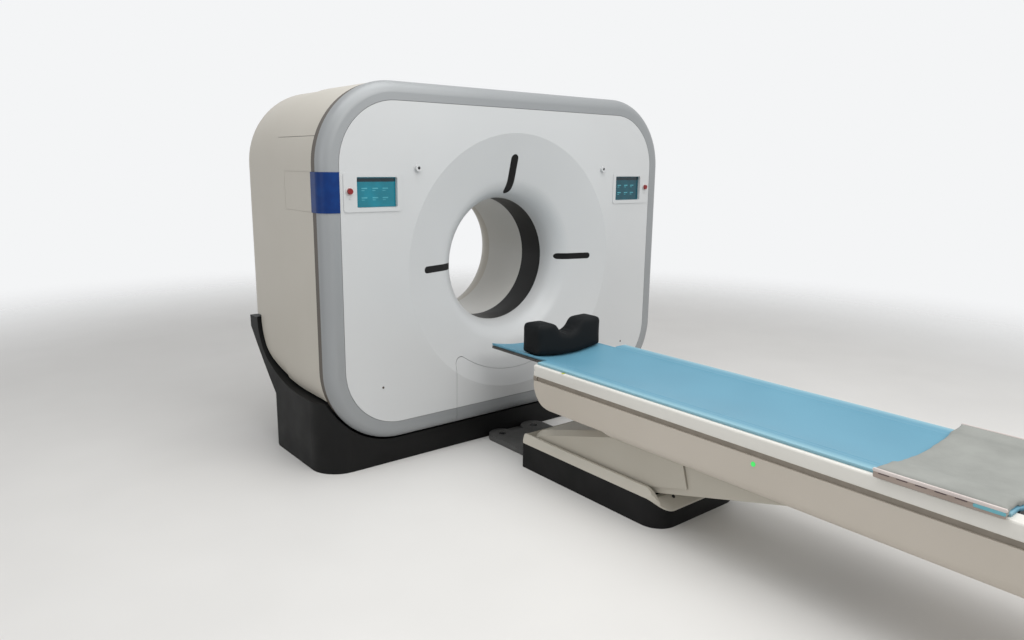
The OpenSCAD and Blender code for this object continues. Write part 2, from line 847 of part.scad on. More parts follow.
// Solids given as (x, s, t)
module on_arm(p) { translate([0, p.x, p.y]) rotate([-arm_rest, 0, 0]) mirror([0, 1, 0]) children(); }

module both_sides(x) { for (m = [0, 1]) mirror([m, 0, 0]) side_view(x[0], x[1]) children(); }

module arm_outline() {
    difference() {
        union() {
            translate([0, -arm_w]) square([arm_l, 2 * arm_w]);
            for (s = [0, arm_l]) translate([s, 0]) circle(boss_r);
            children();
        }
        for (s = [0, arm_l]) translate([s, 0]) circle(pin_r + fit_gap);
    }
}

module lower_arm() {
    color("silver") {
        both_sides(arm1_x) along(pivot_a) arm_outline() {
            translate([eye_s, eye_t]) circle(22);
            translate([eye_s - 22, 0]) square([44, eye_t]);
        }
        side_view(-arm1_x[0], arm1_x[0]) along(pivot_a) translate([eye_s, eye_t]) circle(eye_pin);
        for (s = [300, 840]) side_view(-cover1_in, cover1_in) along(pivot_a) translate([s, 20]) circle(tube_r);
    }
}

module upper_arm() {
    color("silver") {
        both_sides(arm2_x) along(pivot_b) arm_outline();
        for (s = [310, 850]) side_view(-cover2_in, cover2_in) along(pivot_b) translate([s, -20]) circle(tube_r);
    }
}

// Telescoping covers of the arms
cover1_in = 238;
cover1_x = 245;
cover2_in = 228;
cover2_x = 235;
hood_r = 118;
hood_l = 880;
chamfer = 25;
roof_t = 6;

// Half section of the hood (height above the arm, x)
function hood_half(r, x, c) = [[r - c, x], [r, x - c], [r, c - x], [r - c, -x]];
function hood_section() = concat([[0, cover1_x]], hood_half(hood_r, cover1_x, chamfer),
    [[0, -cover1_x], [0, -cover1_in]],
    [for (i = [3:-1:0]) hood_half(hood_r - roof_t, cover1_in, chamfer - 3)[i]], [[0, cover1_in]]);

module lower_arm_cover() {
    color("gainsboro") {
        on_arm(pivot_a) {
            translate([0, hood_l, 0]) rotate([90, 0, 0]) linear_extrude(hood_l)
                polygon([for (p = hood_section()) [p.y, p.x]]);
            mirror([0, 1, 0]) rotate([0, -90, 0]) rotate_extrude(angle = 90) polygon(hood_section());
        }
        both_sides([cover1_in, cover1_x]) along(pivot_a)
            polygon([[-hood_r, 0], [-60, -50], [60, -62], [170, -hood_r], [hood_l, -hood_r], [hood_l, 0]]);
    }
}

module upper_arm_cover() {
    color("gainsboro") {
        both_sides([cover2_in, cover2_x]) along(pivot_b)
            polygon([[-60, -40], [60, -60], [250, -88], [arm_l + 50, -88], [arm_l + 50, 60], [-60, 60]]);
        side_view(-cover2_in, cover2_in) along(pivot_b) translate([295, -88]) square([arm_l - 245, 6]);
    }
}

// An upright bracket round a pivot, with the pivot at the origin
module hanger(r, w, h0, h1) {
    difference() {
        union() {
            circle(r);
            translate([-w, h0]) square([2 * w, h1 - h0]);
        }
        circle(pin_r);
    }
}

module table_plinth() {
    color([0.15, 0.15, 0.15]) {
        difference() {
            plan_view(0, plinth_h) plinth_plan(0);
            plan_view(12, plinth_h + 1) plinth_plan(10);
            side_view(-plinth_w, plinth_w) polygon(concat([[-plinth_back - 1, plinth_h + 1],
                [-plinth_back - 1, foot_h]], foot_curve(foot_h, plinth_h, foot_l),
                [[-plinth_back + foot_l, plinth_h + 1]]));
        }
        both_sides(hang1_x) translate(pivot_a) hanger(36, 36, 10 - pivot_z, 0);
        both_sides(hang2_x) translate(pivot_b) hanger(32, 32, 10 - pivot_z, 0);
        both_sides([30, 44]) difference() {
            union() {
                translate(drive_pivot) circle(20);
                translate([drive_pivot.x - 20, 10]) square([40, drive_pivot.y - 10]);
            }
            translate(drive_pivot) circle(eye_pin);
        }
    }
}

foot_h = 75;
foot_l = 90;

// The curve at the foot end of the plinth, from height z0 to z1 over a length l (Y, Z)
function foot_curve(z0, z1, l) =
    [for (i = [0:10]) [-plinth_back + l * i / 10, z0 + (z1 - z0) * sin(9 * i)]];

module plinth_plan(inset) {
    difference() {
        translate([-plinth_w / 2 + inset, -plinth_back + inset])
            square([plinth_w - 2 * inset, plinth_back - plinth_front - 2 * inset]);
        for (m = [0, 1]) mirror([m, 0]) {
            corner(plinth_w / 2 - inset, -plinth_back + inset, 100 - inset, 1);
            corner(plinth_w / 2 - inset, -plinth_front - inset, 15 - inset / 2, -1);
        }
    }
}

// What rounding takes from a corner at (x, y) that opens to the left, and up (u = 1) or down (u = -1)
module corner(x, y, r, u) {
    difference() {
        translate([x - r, u > 0 ? y - 1 : y - r]) square([r + 1, r + 1]);
        translate([x - r, y + u * r]) circle(r);
    }
}

// The cap on the rim of the plinth, with a sloping foot end
module plinth_cap() {
    rim_w = 32;
    color("tan") difference() {
        intersection() {
            plan_view(foot_h, cap_h) plinth_plan(0);
            front_view(-plinth_back, -plinth_front) polygon([[-plinth_w / 2, foot_h], [plinth_w / 2, foot_h],
                [plinth_w / 2, plinth_h], [plinth_w / 2 - 18, cap_h], [18 - plinth_w / 2, cap_h],
                [-plinth_w / 2, plinth_h]]);
            side_view(-plinth_w, plinth_w) polygon(concat(foot_curve(foot_h, plinth_h, foot_l),
                [[-plinth_front, plinth_h], [-plinth_front, cap_h]],
                turned(foot_curve(foot_h + 10, cap_h, foot_l + 10))));
        }
        side_view(-plinth_w / 2 + rim_w, plinth_w / 2 - rim_w) polygon(concat([[-plinth_front + 1, cap_h + 1],
            [-plinth_front - 10, plinth_h - 1]],
            [for (p = turned(foot_curve(foot_h + 8, plinth_h + 8, foot_l))) [p.x, min(p.y, plinth_h - 1)]],
            [[-plinth_back - 1, foot_h + 8], [-plinth_back - 1, cap_h + 1]]));
    }
}

module base_pins() {
    color("silver") {
        side_view(-hang1_x[1], hang1_x[1]) translate(pivot_a) circle(pin_r);
        side_view(-hang2_x[1], hang2_x[1]) translate(pivot_b) circle(pin_r);
        side_view(-44, 44) translate(drive_pivot) circle(eye_pin);
    }
}

// The lift actuator stands between the drive pivot and the eye on the lower arm
drive_a = 82.4;
barrel_r = 26;
rod_r = 14;
module on_drive() { translate(drive_pivot) rotate(drive_a) children(); }
module on_drive_3d() {
    translate([0, drive_pivot.x, drive_pivot.y]) rotate([drive_a - 90, 0, 0]) children();
}

module actuator_barrel() {
    color("dimgray") difference() {
        union() {
            side_view(-26, 26) on_drive() circle(18);
            side_view(-20, 20) on_drive() translate([0, -18]) square([24, 36]);
            on_drive_3d() translate([0, 0, 20]) cylinder(r = barrel_r, h = 203);
            on_drive_3d() translate([58, 0, 60]) cylinder(r = 30, h = 130);
            on_drive_3d() translate([0, -22, 60]) cube([58, 44, 24]);
        }
        on_drive_3d() translate([0, 0, 24]) cylinder(r = rod_r + fit_gap, h = 260);
        side_view(-30, 30) on_drive() circle(eye_pin + fit_gap);
    }
}

module actuator_rod() {
    l = norm(pivot_a + [-eye_s * cos(arm_rest) + eye_t * sin(arm_rest), eye_s * sin(arm_rest)
        + eye_t * cos(arm_rest)] - drive_pivot);
    color("silver") difference() {
        union() {
            on_drive_3d() translate([0, 0, 25]) cylinder(r = rod_r, h = l - 40);
            side_view(-15, 15) on_drive() translate([l, 0]) circle(22);
        }
        side_view(-16, 16) on_drive() translate([l, 0]) circle(eye_pin + eye_play);
    }
}

// The carriage: a deck on two beams inside the table body
top_pivot_a = pivot_a + reach;
top_pivot_b = pivot_b + reach;
deck_z = 500;
deck_t = 20;
beam_x = [258, 284];
body_wall = 8;
body_back = nose_y + body_l;
track_x = 180;
track_top = 534;
roller_y = -1150;
roller_r = 30;
hollow_z = rail_top - 31 + hollow_r;
roller_z = hollow_z - hollow_r - top_t - soft_gap - roller_r;
groove_z = [499, 523];

module carriage_frame() {
    trim_in = table_w / 2 - body_wall - 6;
    color("slategray") difference() {
        union() {
            translate([-trim_in, -body_back + 60, deck_z]) cube([2 * trim_in, body_l - 120, deck_t]);
            for (s = [-1, 1]) {
                translate([s * track_x - 12, -body_back + 60, deck_z + deck_t])
                    cube([24, body_l - 120, track_top - deck_z - deck_t]);
                translate([s > 0 ? beam_x[0] : -beam_x[1], -body_back + 60, 420])
                    cube([beam_x[1] - beam_x[0], body_l - 120, deck_z - 420]);
                translate([s * 52 - 6, roller_y - 25, roller_z - 22]) cube([12, 50, deck_z + deck_t - roller_z + 22]);
            }
            both_sides(hang1_x) translate(top_pivot_a) hanger(36, 30, 0, deck_z + 2 - top_pivot_a.y);
            both_sides(hang2_x) translate(top_pivot_b) hanger(32, 26, 0, deck_z + 2 - top_pivot_b.y);
        }
        for (s = [-1, 1]) translate([s * 23 - 23, roller_y - roller_r - 6, deck_z - 1])
            cube([46, 2 * roller_r + 12, deck_t + 2]);
        side_view(-70, 70) translate([roller_y, roller_z]) circle(8 + fit_gap);
        translate([-160, top_pivot_b.x - 150, deck_z + deck_t - 4]) cube([320, 120, 5]);
    }
}

module carriage_pins() {
    color("silver") {
        side_view(-hang1_x[1], hang1_x[1]) translate(top_pivot_a) circle(pin_r);
        side_view(-hang2_x[1], hang2_x[1]) translate(top_pivot_b) circle(pin_r);
    }
}

module drive_roller() {
    color([0.2, 0.2, 0.2]) {
        side_view(-40, 40) translate([roller_y, roller_z]) circle(roller_r);
        side_view(-58, 58) translate([roller_y, roller_z]) circle(8);
    }
}

nose_r = 120;
body_step = 25;
step_y = -1300;
edge_r = 45;
hood_open = 262;
rail_gap = 20;
body_top = rail_top - 29;
module body_side(inset) {
    y1 = -nose_y - inset;
    z0 = body_low + inset;
    r = nose_r - inset;
    difference() {
        polygon([[-body_back + inset, z0 - body_step], [step_y - 2 * body_step, z0 - body_step], [step_y, z0],
            [y1, z0], [y1, body_top + 1 + inset], [-body_back + inset, body_top + 1 + inset]]);
        difference() {
            translate([y1 - r, z0 - 1]) square([r + 1, r + 1]);
            translate([y1 - r, z0 + r]) circle(r);
        }
    }
}

module body_tub(inset) {
    w = table_w / 2 - inset;
    intersection() {
        side_view(-w, w) body_side(inset);
        front_view(-body_back, -nose_y) {
            r = edge_r - inset;
            z0 = body_low - body_step + inset;
            translate([-w, z0 + r]) square([2 * w, body_top - z0 + 10]);
            translate([-w + r, z0]) square([2 * w - 2 * r, r + 1]);
            for (s = [-1, 1]) translate([s * (w - r), z0 + r]) circle(r);
        }
    }
}

module table_body() {
    w = table_w / 2;
    color("tan") difference() {
        body_tub(0);
        body_tub(body_wall);
        translate([-w - 1, -body_back - 1, body_top]) cube([table_w + 2, body_l + 2, 60]);
        translate([-hood_open, -2400, body_low - body_step - 1])
            cube([2 * hood_open, 1150, body_step + body_wall + 2]);
        for (s = [-1, 1]) {
            translate([s > 0 ? w - body_wall - 1 : -w - 1, -body_back + 14, groove_z[0]])
                cube([body_wall + 2, body_l - 28, groove_z[1] - groove_z[0]]);
            translate([s * track_x - 10, -nose_y - body_wall - 1, track_top - 2]) cube([20, body_wall + 2, 40]);
        }
        front_view(-body_back - 1, -nose_y + 1) difference() {
            translate([0, hollow_z]) circle(hollow_r + top_t + 3, $fn = 360);
            for (s = [-1, 1]) translate([s * (top_w / 2 + 10 + w), 0]) square([2 * w, 4 * w], center = true);
        }
        translate([-w - 1, lamp_y, lamp_z]) rotate([0, 90, 0]) cylinder(r = lamp_r, h = body_wall + 2);
    }
}

module groove_trims() {
    w = table_w / 2 - body_wall;
    color([0.3, 0.28, 0.25]) for (s = [-1, 1])
        translate([s > 0 ? w - 6 : -w, -body_back + 12, groove_z[0] - 6])
            cube([6, body_l - 24, groove_z[1] - groove_z[0] + 12]);
}

module side_rails() {
    w = table_w / 2;
    color("white") for (m = [0, 1]) mirror([m, 0]) front_view(-body_back, -nose_y)
        rounded_rect(top_w / 2 + rail_gap, w, body_top, rail_top, 10);
}

lamp_y = -2067;
lamp_z = 471;
lamp_r = 9;
module status_lamp() {
    color("limegreen") translate([-table_w / 2 - 2, lamp_y, lamp_z]) rotate([0, 90, 0])
        cylinder(r = lamp_r, h = body_wall + 4);
}

// A band of the hollow across the tabletop, between two radii
module hollow_band(r0, r1, w, y0, y1) {
    front_view(y0, y1) translate([0, hollow_z]) difference() {
        circle(r1, $fn = 360);
        circle(r0, $fn = 360);
        translate([-2 * hollow_r, -sqrt(pow(r0, 2) - pow(w, 2))]) square([4 * hollow_r, 4 * hollow_r]);
        for (s = [-1, 1]) translate([s > 0 ? w : -w - 2000, -2 * hollow_r]) square([2000, 4 * hollow_r]);
    }
}

top_back = -tip_y - top_l;
module tabletop() {
    color("whitesmoke") {
        hollow_band(hollow_r, hollow_r + top_t, top_w / 2, top_back, -tip_y);
        for (s = [-1, 1]) front_view(top_back + 5, -nose_y - 5) translate([s * track_x, 0]) difference() {
            translate([-8, track_top + fit_gap]) square([16, 18]);
            translate([-s * track_x, hollow_z]) circle(hollow_r + top_t / 2, $fn = 360);
        }
    }
}

wing_w = 310;
module mattress() {
    r1 = hollow_r - soft_gap;
    color("skyblue") {
        hollow_band(r1 - pad_t, r1, top_w / 2, top_back, -tip_y);
        for (m = [0, 1]) mirror([m, 0]) front_view(top_back, -nose_y - 7)
            translate([top_w / 2 - 3, rail_top + soft_gap]) square([wing_w - top_w / 2 + 3, pad_t]);
    }
}

head_y = 738;
head_l = 120;
head_w = 458;
head_top = rail_top + 165;
dip_r = 95;
dip_d = 66;
hump_r = 60;

// Outline of the head support: two humps with a round dip between them
module head_outline() {
    w = head_w / 2;
    q = 25;
    c = head_top - dip_d + dip_r;
    f = sqrt(pow(dip_r + hump_r, 2) - pow(c - head_top + hump_r, 2));
    a = atan2(head_top - hump_r - c, f);
    polygon(concat([[-w, 0], [w, 0]], arc([w - q, head_top - q], q, 0, 90, 6),
        arc([f, head_top - hump_r], hump_r, 90, 180 + a), arc([0, c], dip_r, a, -180 - a, 20),
        arc([-f, head_top - hump_r], hump_r, -a, 90), arc([q - w, head_top - q], q, 90, 180, 6)));
}

module head_support() {
    r1 = hollow_r - pad_t - 2 * soft_gap;
    color([0.1, 0.1, 0.1]) front_view(-head_y, -head_y + head_l) difference() {
        head_outline();
        difference() {
            translate([-head_w, -1]) square([2 * head_w, rail_top + 40]);
            translate([0, hollow_z]) circle(r1, $fn = 360);
        }
    }
}

mat_t = 21;
mat_l = 380;
mat_w = 680;

// The folded mat at the foot end, with edges that hang down beside the mattress
module foot_mat() {
    r1 = hollow_r - pad_t - 2 * soft_gap;
    z = rail_top + pad_t + 2 * soft_gap;
    w = top_w / 2 - 3 - soft_gap;
    x1 = wing_w + soft_gap + 1;
    color("silver") {
        hollow_band(r1 - mat_t, r1, w, top_back, top_back + mat_l);
        for (m = [0, 1]) mirror([m, 0]) front_view(top_back, top_back + mat_l) {
            translate([w - 8, z]) square([mat_w / 2 - w + 8, mat_t]);
            translate([x1, rail_top + soft_gap]) square([mat_w / 2 - x1, z + mat_t / 2 - rail_top]);
        }
    }
}

gantry_base();
front_cover();
lower_front_cover();
front_bezel();
lower_bezel();
shadow_strip();
blue_panel();
side_cover_left();
side_cover_right();
top_cover();
rear_cover();
tunnel_liner();
scan_window();
laser_windows();
touch_panel_left();
touch_panel_right();
touch_screens();
patient_cameras();
stop_button_left();
stop_button_right();
stator_frame();
bearing_outer();
bearing_inner();
brush_block();
drive_motor();
drive_belt();
motor_pulley();
fan_frame();
fan_rotor();
power_unit();
rotor_drum();
xray_tube();
collimator();
detector_arc();
hv_generator();
heat_exchanger();
counterweights();
slip_ring();
floor_bridge();
anchor_bolts();
table_plinth();
plinth_cap();
base_pins();
lower_arm();
lower_arm_cover();
upper_arm();
upper_arm_cover();
actuator_barrel();
actuator_rod();
carriage_frame();
carriage_pins();
table_body();
groove_trims();
side_rails();
status_lamp();
tabletop();
drive_roller();
mattress();
head_support();
foot_mat();
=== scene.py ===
# CT scanner: materials, soft goods, small details, studio and camera
import math
import bpy
import bmesh
from mathutils import Matrix, Vector, noise


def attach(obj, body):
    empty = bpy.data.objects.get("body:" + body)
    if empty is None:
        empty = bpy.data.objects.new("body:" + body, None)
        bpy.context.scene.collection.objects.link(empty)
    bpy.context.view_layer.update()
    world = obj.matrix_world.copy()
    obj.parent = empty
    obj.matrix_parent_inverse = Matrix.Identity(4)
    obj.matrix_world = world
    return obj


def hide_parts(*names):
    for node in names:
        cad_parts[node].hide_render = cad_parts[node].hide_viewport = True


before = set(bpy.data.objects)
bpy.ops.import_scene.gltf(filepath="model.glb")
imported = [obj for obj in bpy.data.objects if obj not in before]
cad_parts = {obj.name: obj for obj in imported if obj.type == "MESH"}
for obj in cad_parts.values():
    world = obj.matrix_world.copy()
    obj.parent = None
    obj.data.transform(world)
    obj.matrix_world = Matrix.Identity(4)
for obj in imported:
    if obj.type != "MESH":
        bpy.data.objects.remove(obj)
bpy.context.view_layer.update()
print("loaded", len(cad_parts), "nodes")


def linear(hexText):
    # sRGB hex to linear colour
    channels = [int(hexText[i:i + 2], 16) / 255 for i in (1, 3, 5)]
    return tuple(c / 12.92 if c <= 0.04045 else ((c + 0.055) / 1.055) ** 2.4 for c in channels) + (1.0,)


def addNode(tree, kind, inputs=None, stops=None, **settings):
    # one node: its settings, values or links for its sockets, and the stops of a ramp
    node = tree.nodes.new(kind)
    for name, value in settings.items():
        setattr(node, name, value)
    for socket, value in (inputs or {}).items():
        if isinstance(value, bpy.types.NodeSocket):
            tree.links.new(value, node.inputs[socket])
        else:
            node.inputs[socket].default_value = value
    for index, (position, hexText) in enumerate(stops or []):
        stop = node.color_ramp.elements[index] if index < 2 else node.color_ramp.elements.new(position)
        stop.position = position
        stop.color = linear(hexText)
    return node


def newMaterial(name):
    # an empty material and the Object coordinates that its textures use
    material = bpy.data.materials.new(name)
    material.use_nodes = True
    tree = material.node_tree
    tree.nodes.clear()
    return material, tree, addNode(tree, "ShaderNodeTexCoord").outputs["Object"]


def paintedMoulding(name, dark, light, gloss=0.34, metal=0.0, peel=0.00005, band=None):
    # sprayed polyurethane moulding: an even coat with faint orange peel, a little uneven in sheen
    # from wiping down
    material, tree, where = newMaterial(name)
    cloud = addNode(tree, "ShaderNodeTexNoise", {"Vector": where, "Scale": 1.6, "Detail": 2.0})
    colour = addNode(tree, "ShaderNodeValToRGB", {"Fac": cloud.outputs["Fac"]},
                     stops=[(0.2, dark), (0.8, light)]).outputs["Color"]
    if band:
        # a second colour above the given height
        apart = addNode(tree, "ShaderNodeSeparateXYZ", {"Vector": where})
        above = addNode(tree, "ShaderNodeMapRange", {"Value": apart.outputs["Z"], "From Min": band[0] - 0.0005,
                                                     "From Max": band[0] + 0.0005})
        colour = addNode(tree, "ShaderNodeMixRGB", {"Fac": above.outputs["Result"], "Color1": colour,
                                                    "Color2": linear(band[1])}).outputs["Color"]
    wiped = addNode(tree, "ShaderNodeTexNoise", {"Vector": where, "Scale": 5.0, "Detail": 3.0})
    sheen = addNode(tree, "ShaderNodeMapRange", {"Value": wiped.outputs["Fac"],
                                                 "From Min": 0.3, "From Max": 0.7,
                                                 "To Min": gloss - 0.02, "To Max": gloss + 0.03})
    skin = addNode(tree, "ShaderNodeTexNoise", {"Vector": where, "Scale": 240.0, "Detail": 1.0})
    bump = addNode(tree, "ShaderNodeBump", {"Height": skin.outputs["Fac"], "Distance": peel})
    shader = addNode(tree, "ShaderNodeBsdfPrincipled", {
        "Base Color": colour, "Roughness": sheen.outputs["Result"], "Metallic": metal, "IOR": 1.5,
        "Normal": bump.outputs["Normal"]})
    addNode(tree, "ShaderNodeOutputMaterial", {"Surface": shader.outputs["BSDF"]})
    return material


def powderCoat(name, dark, light, gloss=0.5, ior=1.5):
    # baked powder coat on steel: a fine pebbled texture, rubbed a little paler where feet and cloths pass
    material, tree, where = newMaterial(name)
    rub = addNode(tree, "ShaderNodeTexNoise", {"Vector": where, "Scale": 7.0, "Detail": 4.0})
    colour = addNode(tree, "ShaderNodeValToRGB", {"Fac": rub.outputs["Fac"]},
                     stops=[(0.3, dark), (0.75, light)])
    sheen = addNode(tree, "ShaderNodeMapRange", {"Value": rub.outputs["Fac"],
                                                 "From Min": 0.3, "From Max": 0.7,
                                                 "To Min": gloss + 0.05, "To Max": gloss - 0.05})
    # pebbles of 1.6 mm, about twice the real grain, so that they show
    grain = addNode(tree, "ShaderNodeTexNoise", {"Vector": where, "Scale": 620.0, "Detail": 2.0})
    bump = addNode(tree, "ShaderNodeBump", {"Height": grain.outputs["Fac"], "Distance": 0.0002})
    shader = addNode(tree, "ShaderNodeBsdfPrincipled", {
        "Base Color": colour.outputs["Color"], "Roughness": sheen.outputs["Result"], "IOR": ior,
        "Normal": bump.outputs["Normal"]})
    addNode(tree, "ShaderNodeOutputMaterial", {"Surface": shader.outputs["BSDF"]})
    return material


def turnedMetal(name, dark, light, rough=0.28):
    # machined metal: fine lines along the cut that stretch the highlights
    material, tree, where = newMaterial(name)
    along = addNode(tree, "ShaderNodeMapping", {"Vector": where, "Scale": (1, 1, 60)})
    grain = addNode(tree, "ShaderNodeTexNoise", {"Vector": along.outputs["Vector"], "Scale": 20.0,
                                                 "Detail": 4.0})
    colour = addNode(tree, "ShaderNodeValToRGB", {"Fac": grain.outputs["Fac"]},
                     stops=[(0.25, dark), (0.75, light)])
    sheen = addNode(tree, "ShaderNodeMapRange", {"Value": grain.outputs["Fac"],
                                                 "From Min": 0.3, "From Max": 0.7,
                                                 "To Min": rough - 0.06, "To Max": rough + 0.1})
    bump = addNode(tree, "ShaderNodeBump", {"Height": grain.outputs["Fac"], "Distance": 0.00004})
    shader = addNode(tree, "ShaderNodeBsdfPrincipled", {
        "Base Color": colour.outputs["Color"], "Roughness": sheen.outputs["Result"], "Metallic": 1.0,
        "Normal": bump.outputs["Normal"]})
    addNode(tree, "ShaderNodeOutputMaterial", {"Surface": shader.outputs["BSDF"]})
    return material


def castMetal(name, dark, light, rough=0.5):
    # sand-cast alloy: a dull, slightly pitted skin
    material, tree, where = newMaterial(name)
    skin = addNode(tree, "ShaderNodeTexNoise", {"Vector": where, "Scale": 160.0, "Detail": 4.0})
    colour = addNode(tree, "ShaderNodeValToRGB", {"Fac": skin.outputs["Fac"]},
                     stops=[(0.35, dark), (0.65, light)])
    sheen = addNode(tree, "ShaderNodeMapRange", {"Value": skin.outputs["Fac"],
                                                 "From Min": 0.3, "From Max": 0.7,
                                                 "To Min": rough, "To Max": rough + 0.15})
    bump = addNode(tree, "ShaderNodeBump", {"Height": skin.outputs["Fac"], "Distance": 0.0003})
    shader = addNode(tree, "ShaderNodeBsdfPrincipled", {
        "Base Color": colour.outputs["Color"], "Roughness": sheen.outputs["Result"], "Metallic": 0.8,
        "Normal": bump.outputs["Normal"]})
    addNode(tree, "ShaderNodeOutputMaterial", {"Surface": shader.outputs["BSDF"]})
    return material


def glossPolycarbonate(name, dark, light, rough=0.1, glow=0.0, ior=1.5):
    # hard-coated sheet: a sharp reflection with a trace of haze; a lit one glows through its tint
    material, tree, where = newMaterial(name)
    haze = addNode(tree, "ShaderNodeTexNoise", {"Vector": where, "Scale": 20.0, "Detail": 4.0})
    colour = addNode(tree, "ShaderNodeValToRGB", {"Fac": haze.outputs["Fac"]},
                     stops=[(0.35, dark), (0.65, light)])
    sheen = addNode(tree, "ShaderNodeMapRange", {"Value": haze.outputs["Fac"],
                                                 "From Min": 0.3, "From Max": 0.7,
                                                 "To Min": rough, "To Max": rough + 0.05})
    shader = addNode(tree, "ShaderNodeBsdfPrincipled", {
        "Base Color": colour.outputs["Color"], "Roughness": sheen.outputs["Result"], "IOR": ior,
        "Emission Color": colour.outputs["Color"], "Emission Strength": glow})
    addNode(tree, "ShaderNodeOutputMaterial", {"Surface": shader.outputs["BSDF"]})
    return material


def paddedVinyl(name, dark, light, gloss=0.42, lip=None, ior=1.5):
    # supported vinyl over foam: a soft sheen over leather grain, and a paler colour towards the outer
    # edges of its sides over the side rails
    material, tree, where = newMaterial(name)
    cloud = addNode(tree, "ShaderNodeTexNoise", {"Vector": where, "Scale": 3.0, "Detail": 2.0})
    colour = addNode(tree, "ShaderNodeValToRGB", {"Fac": cloud.outputs["Fac"]},
                     stops=[(0.25, dark), (0.75, light)]).outputs["Color"]
    if lip:
        apart = addNode(tree, "ShaderNodeSeparateXYZ", {"Vector": where})
        side = addNode(tree, "ShaderNodeMath", {0: apart.outputs["X"]}, operation="ABSOLUTE")
        edge = addNode(tree, "ShaderNodeMapRange", {"Value": side.outputs[0], "From Min": lip[0],
                                                    "From Max": lip[1]})
        colour = addNode(tree, "ShaderNodeMixRGB", {"Fac": edge.outputs["Result"], "Color1": colour,
                                                    "Color2": linear(lip[2])}).outputs["Color"]
    sheen = addNode(tree, "ShaderNodeMapRange", {"Value": cloud.outputs["Fac"],
                                                 "From Min": 0.3, "From Max": 0.7,
                                                 "To Min": gloss - 0.04, "To Max": gloss + 0.05})
    # grain cells of 2.2 mm, about twice the real ones, so that they show
    grain = addNode(tree, "ShaderNodeTexVoronoi", {"Vector": where, "Scale": 450.0}, feature="DISTANCE_TO_EDGE")
    bump = addNode(tree, "ShaderNodeBump", {"Height": grain.outputs["Distance"], "Distance": 0.0003,
                                            "Strength": 0.5})
    shader = addNode(tree, "ShaderNodeBsdfPrincipled", {
        "Base Color": colour, "Roughness": sheen.outputs["Result"], "IOR": ior,
        "Normal": bump.outputs["Normal"]})
    addNode(tree, "ShaderNodeOutputMaterial", {"Surface": shader.outputs["BSDF"]})
    return material


def wovenCloth(name, dark, light):
    # plain weave in polyester: matt, with crossing threads and a slight stain here and there
    material, tree, where = newMaterial(name)
    stain = addNode(tree, "ShaderNodeTexNoise", {"Vector": where, "Scale": 9.0, "Detail": 3.0})
    colour = addNode(tree, "ShaderNodeValToRGB", {"Fac": stain.outputs["Fac"]},
                     stops=[(0.3, dark), (0.7, light)])
    # threads of 2 mm, drawn four times as coarse as real ones so that they show
    warp = addNode(tree, "ShaderNodeTexWave", {"Vector": where, "Scale": 80.0}, bands_direction="X")
    weft = addNode(tree, "ShaderNodeTexWave", {"Vector": where, "Scale": 80.0}, bands_direction="Y")
    weave = addNode(tree, "ShaderNodeMath", {0: warp.outputs["Fac"], 1: weft.outputs["Fac"]},
                    operation="MULTIPLY")
    bump = addNode(tree, "ShaderNodeBump", {"Height": weave.outputs[0], "Distance": 0.0002, "Strength": 0.6})
    shader = addNode(tree, "ShaderNodeBsdfPrincipled", {
        "Base Color": colour.outputs["Color"], "Roughness": 0.8, "IOR": 1.45, "Normal": bump.outputs["Normal"]})
    addNode(tree, "ShaderNodeOutputMaterial", {"Surface": shader.outputs["BSDF"]})
    return material


def mouldedRubber(name, dark, light):
    # moulded rubber or filled plastic: matt, with a film of dust that lifts the colour
    material, tree, where = newMaterial(name)
    dust = addNode(tree, "ShaderNodeTexNoise", {"Vector": where, "Scale": 30.0, "Detail": 4.0})
    colour = addNode(tree, "ShaderNodeValToRGB", {"Fac": dust.outputs["Fac"]},
                     stops=[(0.35, dark), (0.65, light)])
    sheen = addNode(tree, "ShaderNodeMapRange", {"Value": dust.outputs["Fac"],
                                                 "From Min": 0.3, "From Max": 0.7,
                                                 "To Min": 0.6, "To Max": 0.8})
    skin = addNode(tree, "ShaderNodeTexNoise", {"Vector": where, "Scale": 1000.0, "Detail": 1.0})
    bump = addNode(tree, "ShaderNodeBump", {"Height": skin.outputs["Fac"], "Distance": 0.0001})
    shader = addNode(tree, "ShaderNodeBsdfPrincipled", {
        "Base Color": colour.outputs["Color"], "Roughness": sheen.outputs["Result"], "IOR": 1.52,
        "Normal": bump.outputs["Normal"]})
    addNode(tree, "ShaderNodeOutputMaterial", {"Surface": shader.outputs["BSDF"]})
    return material


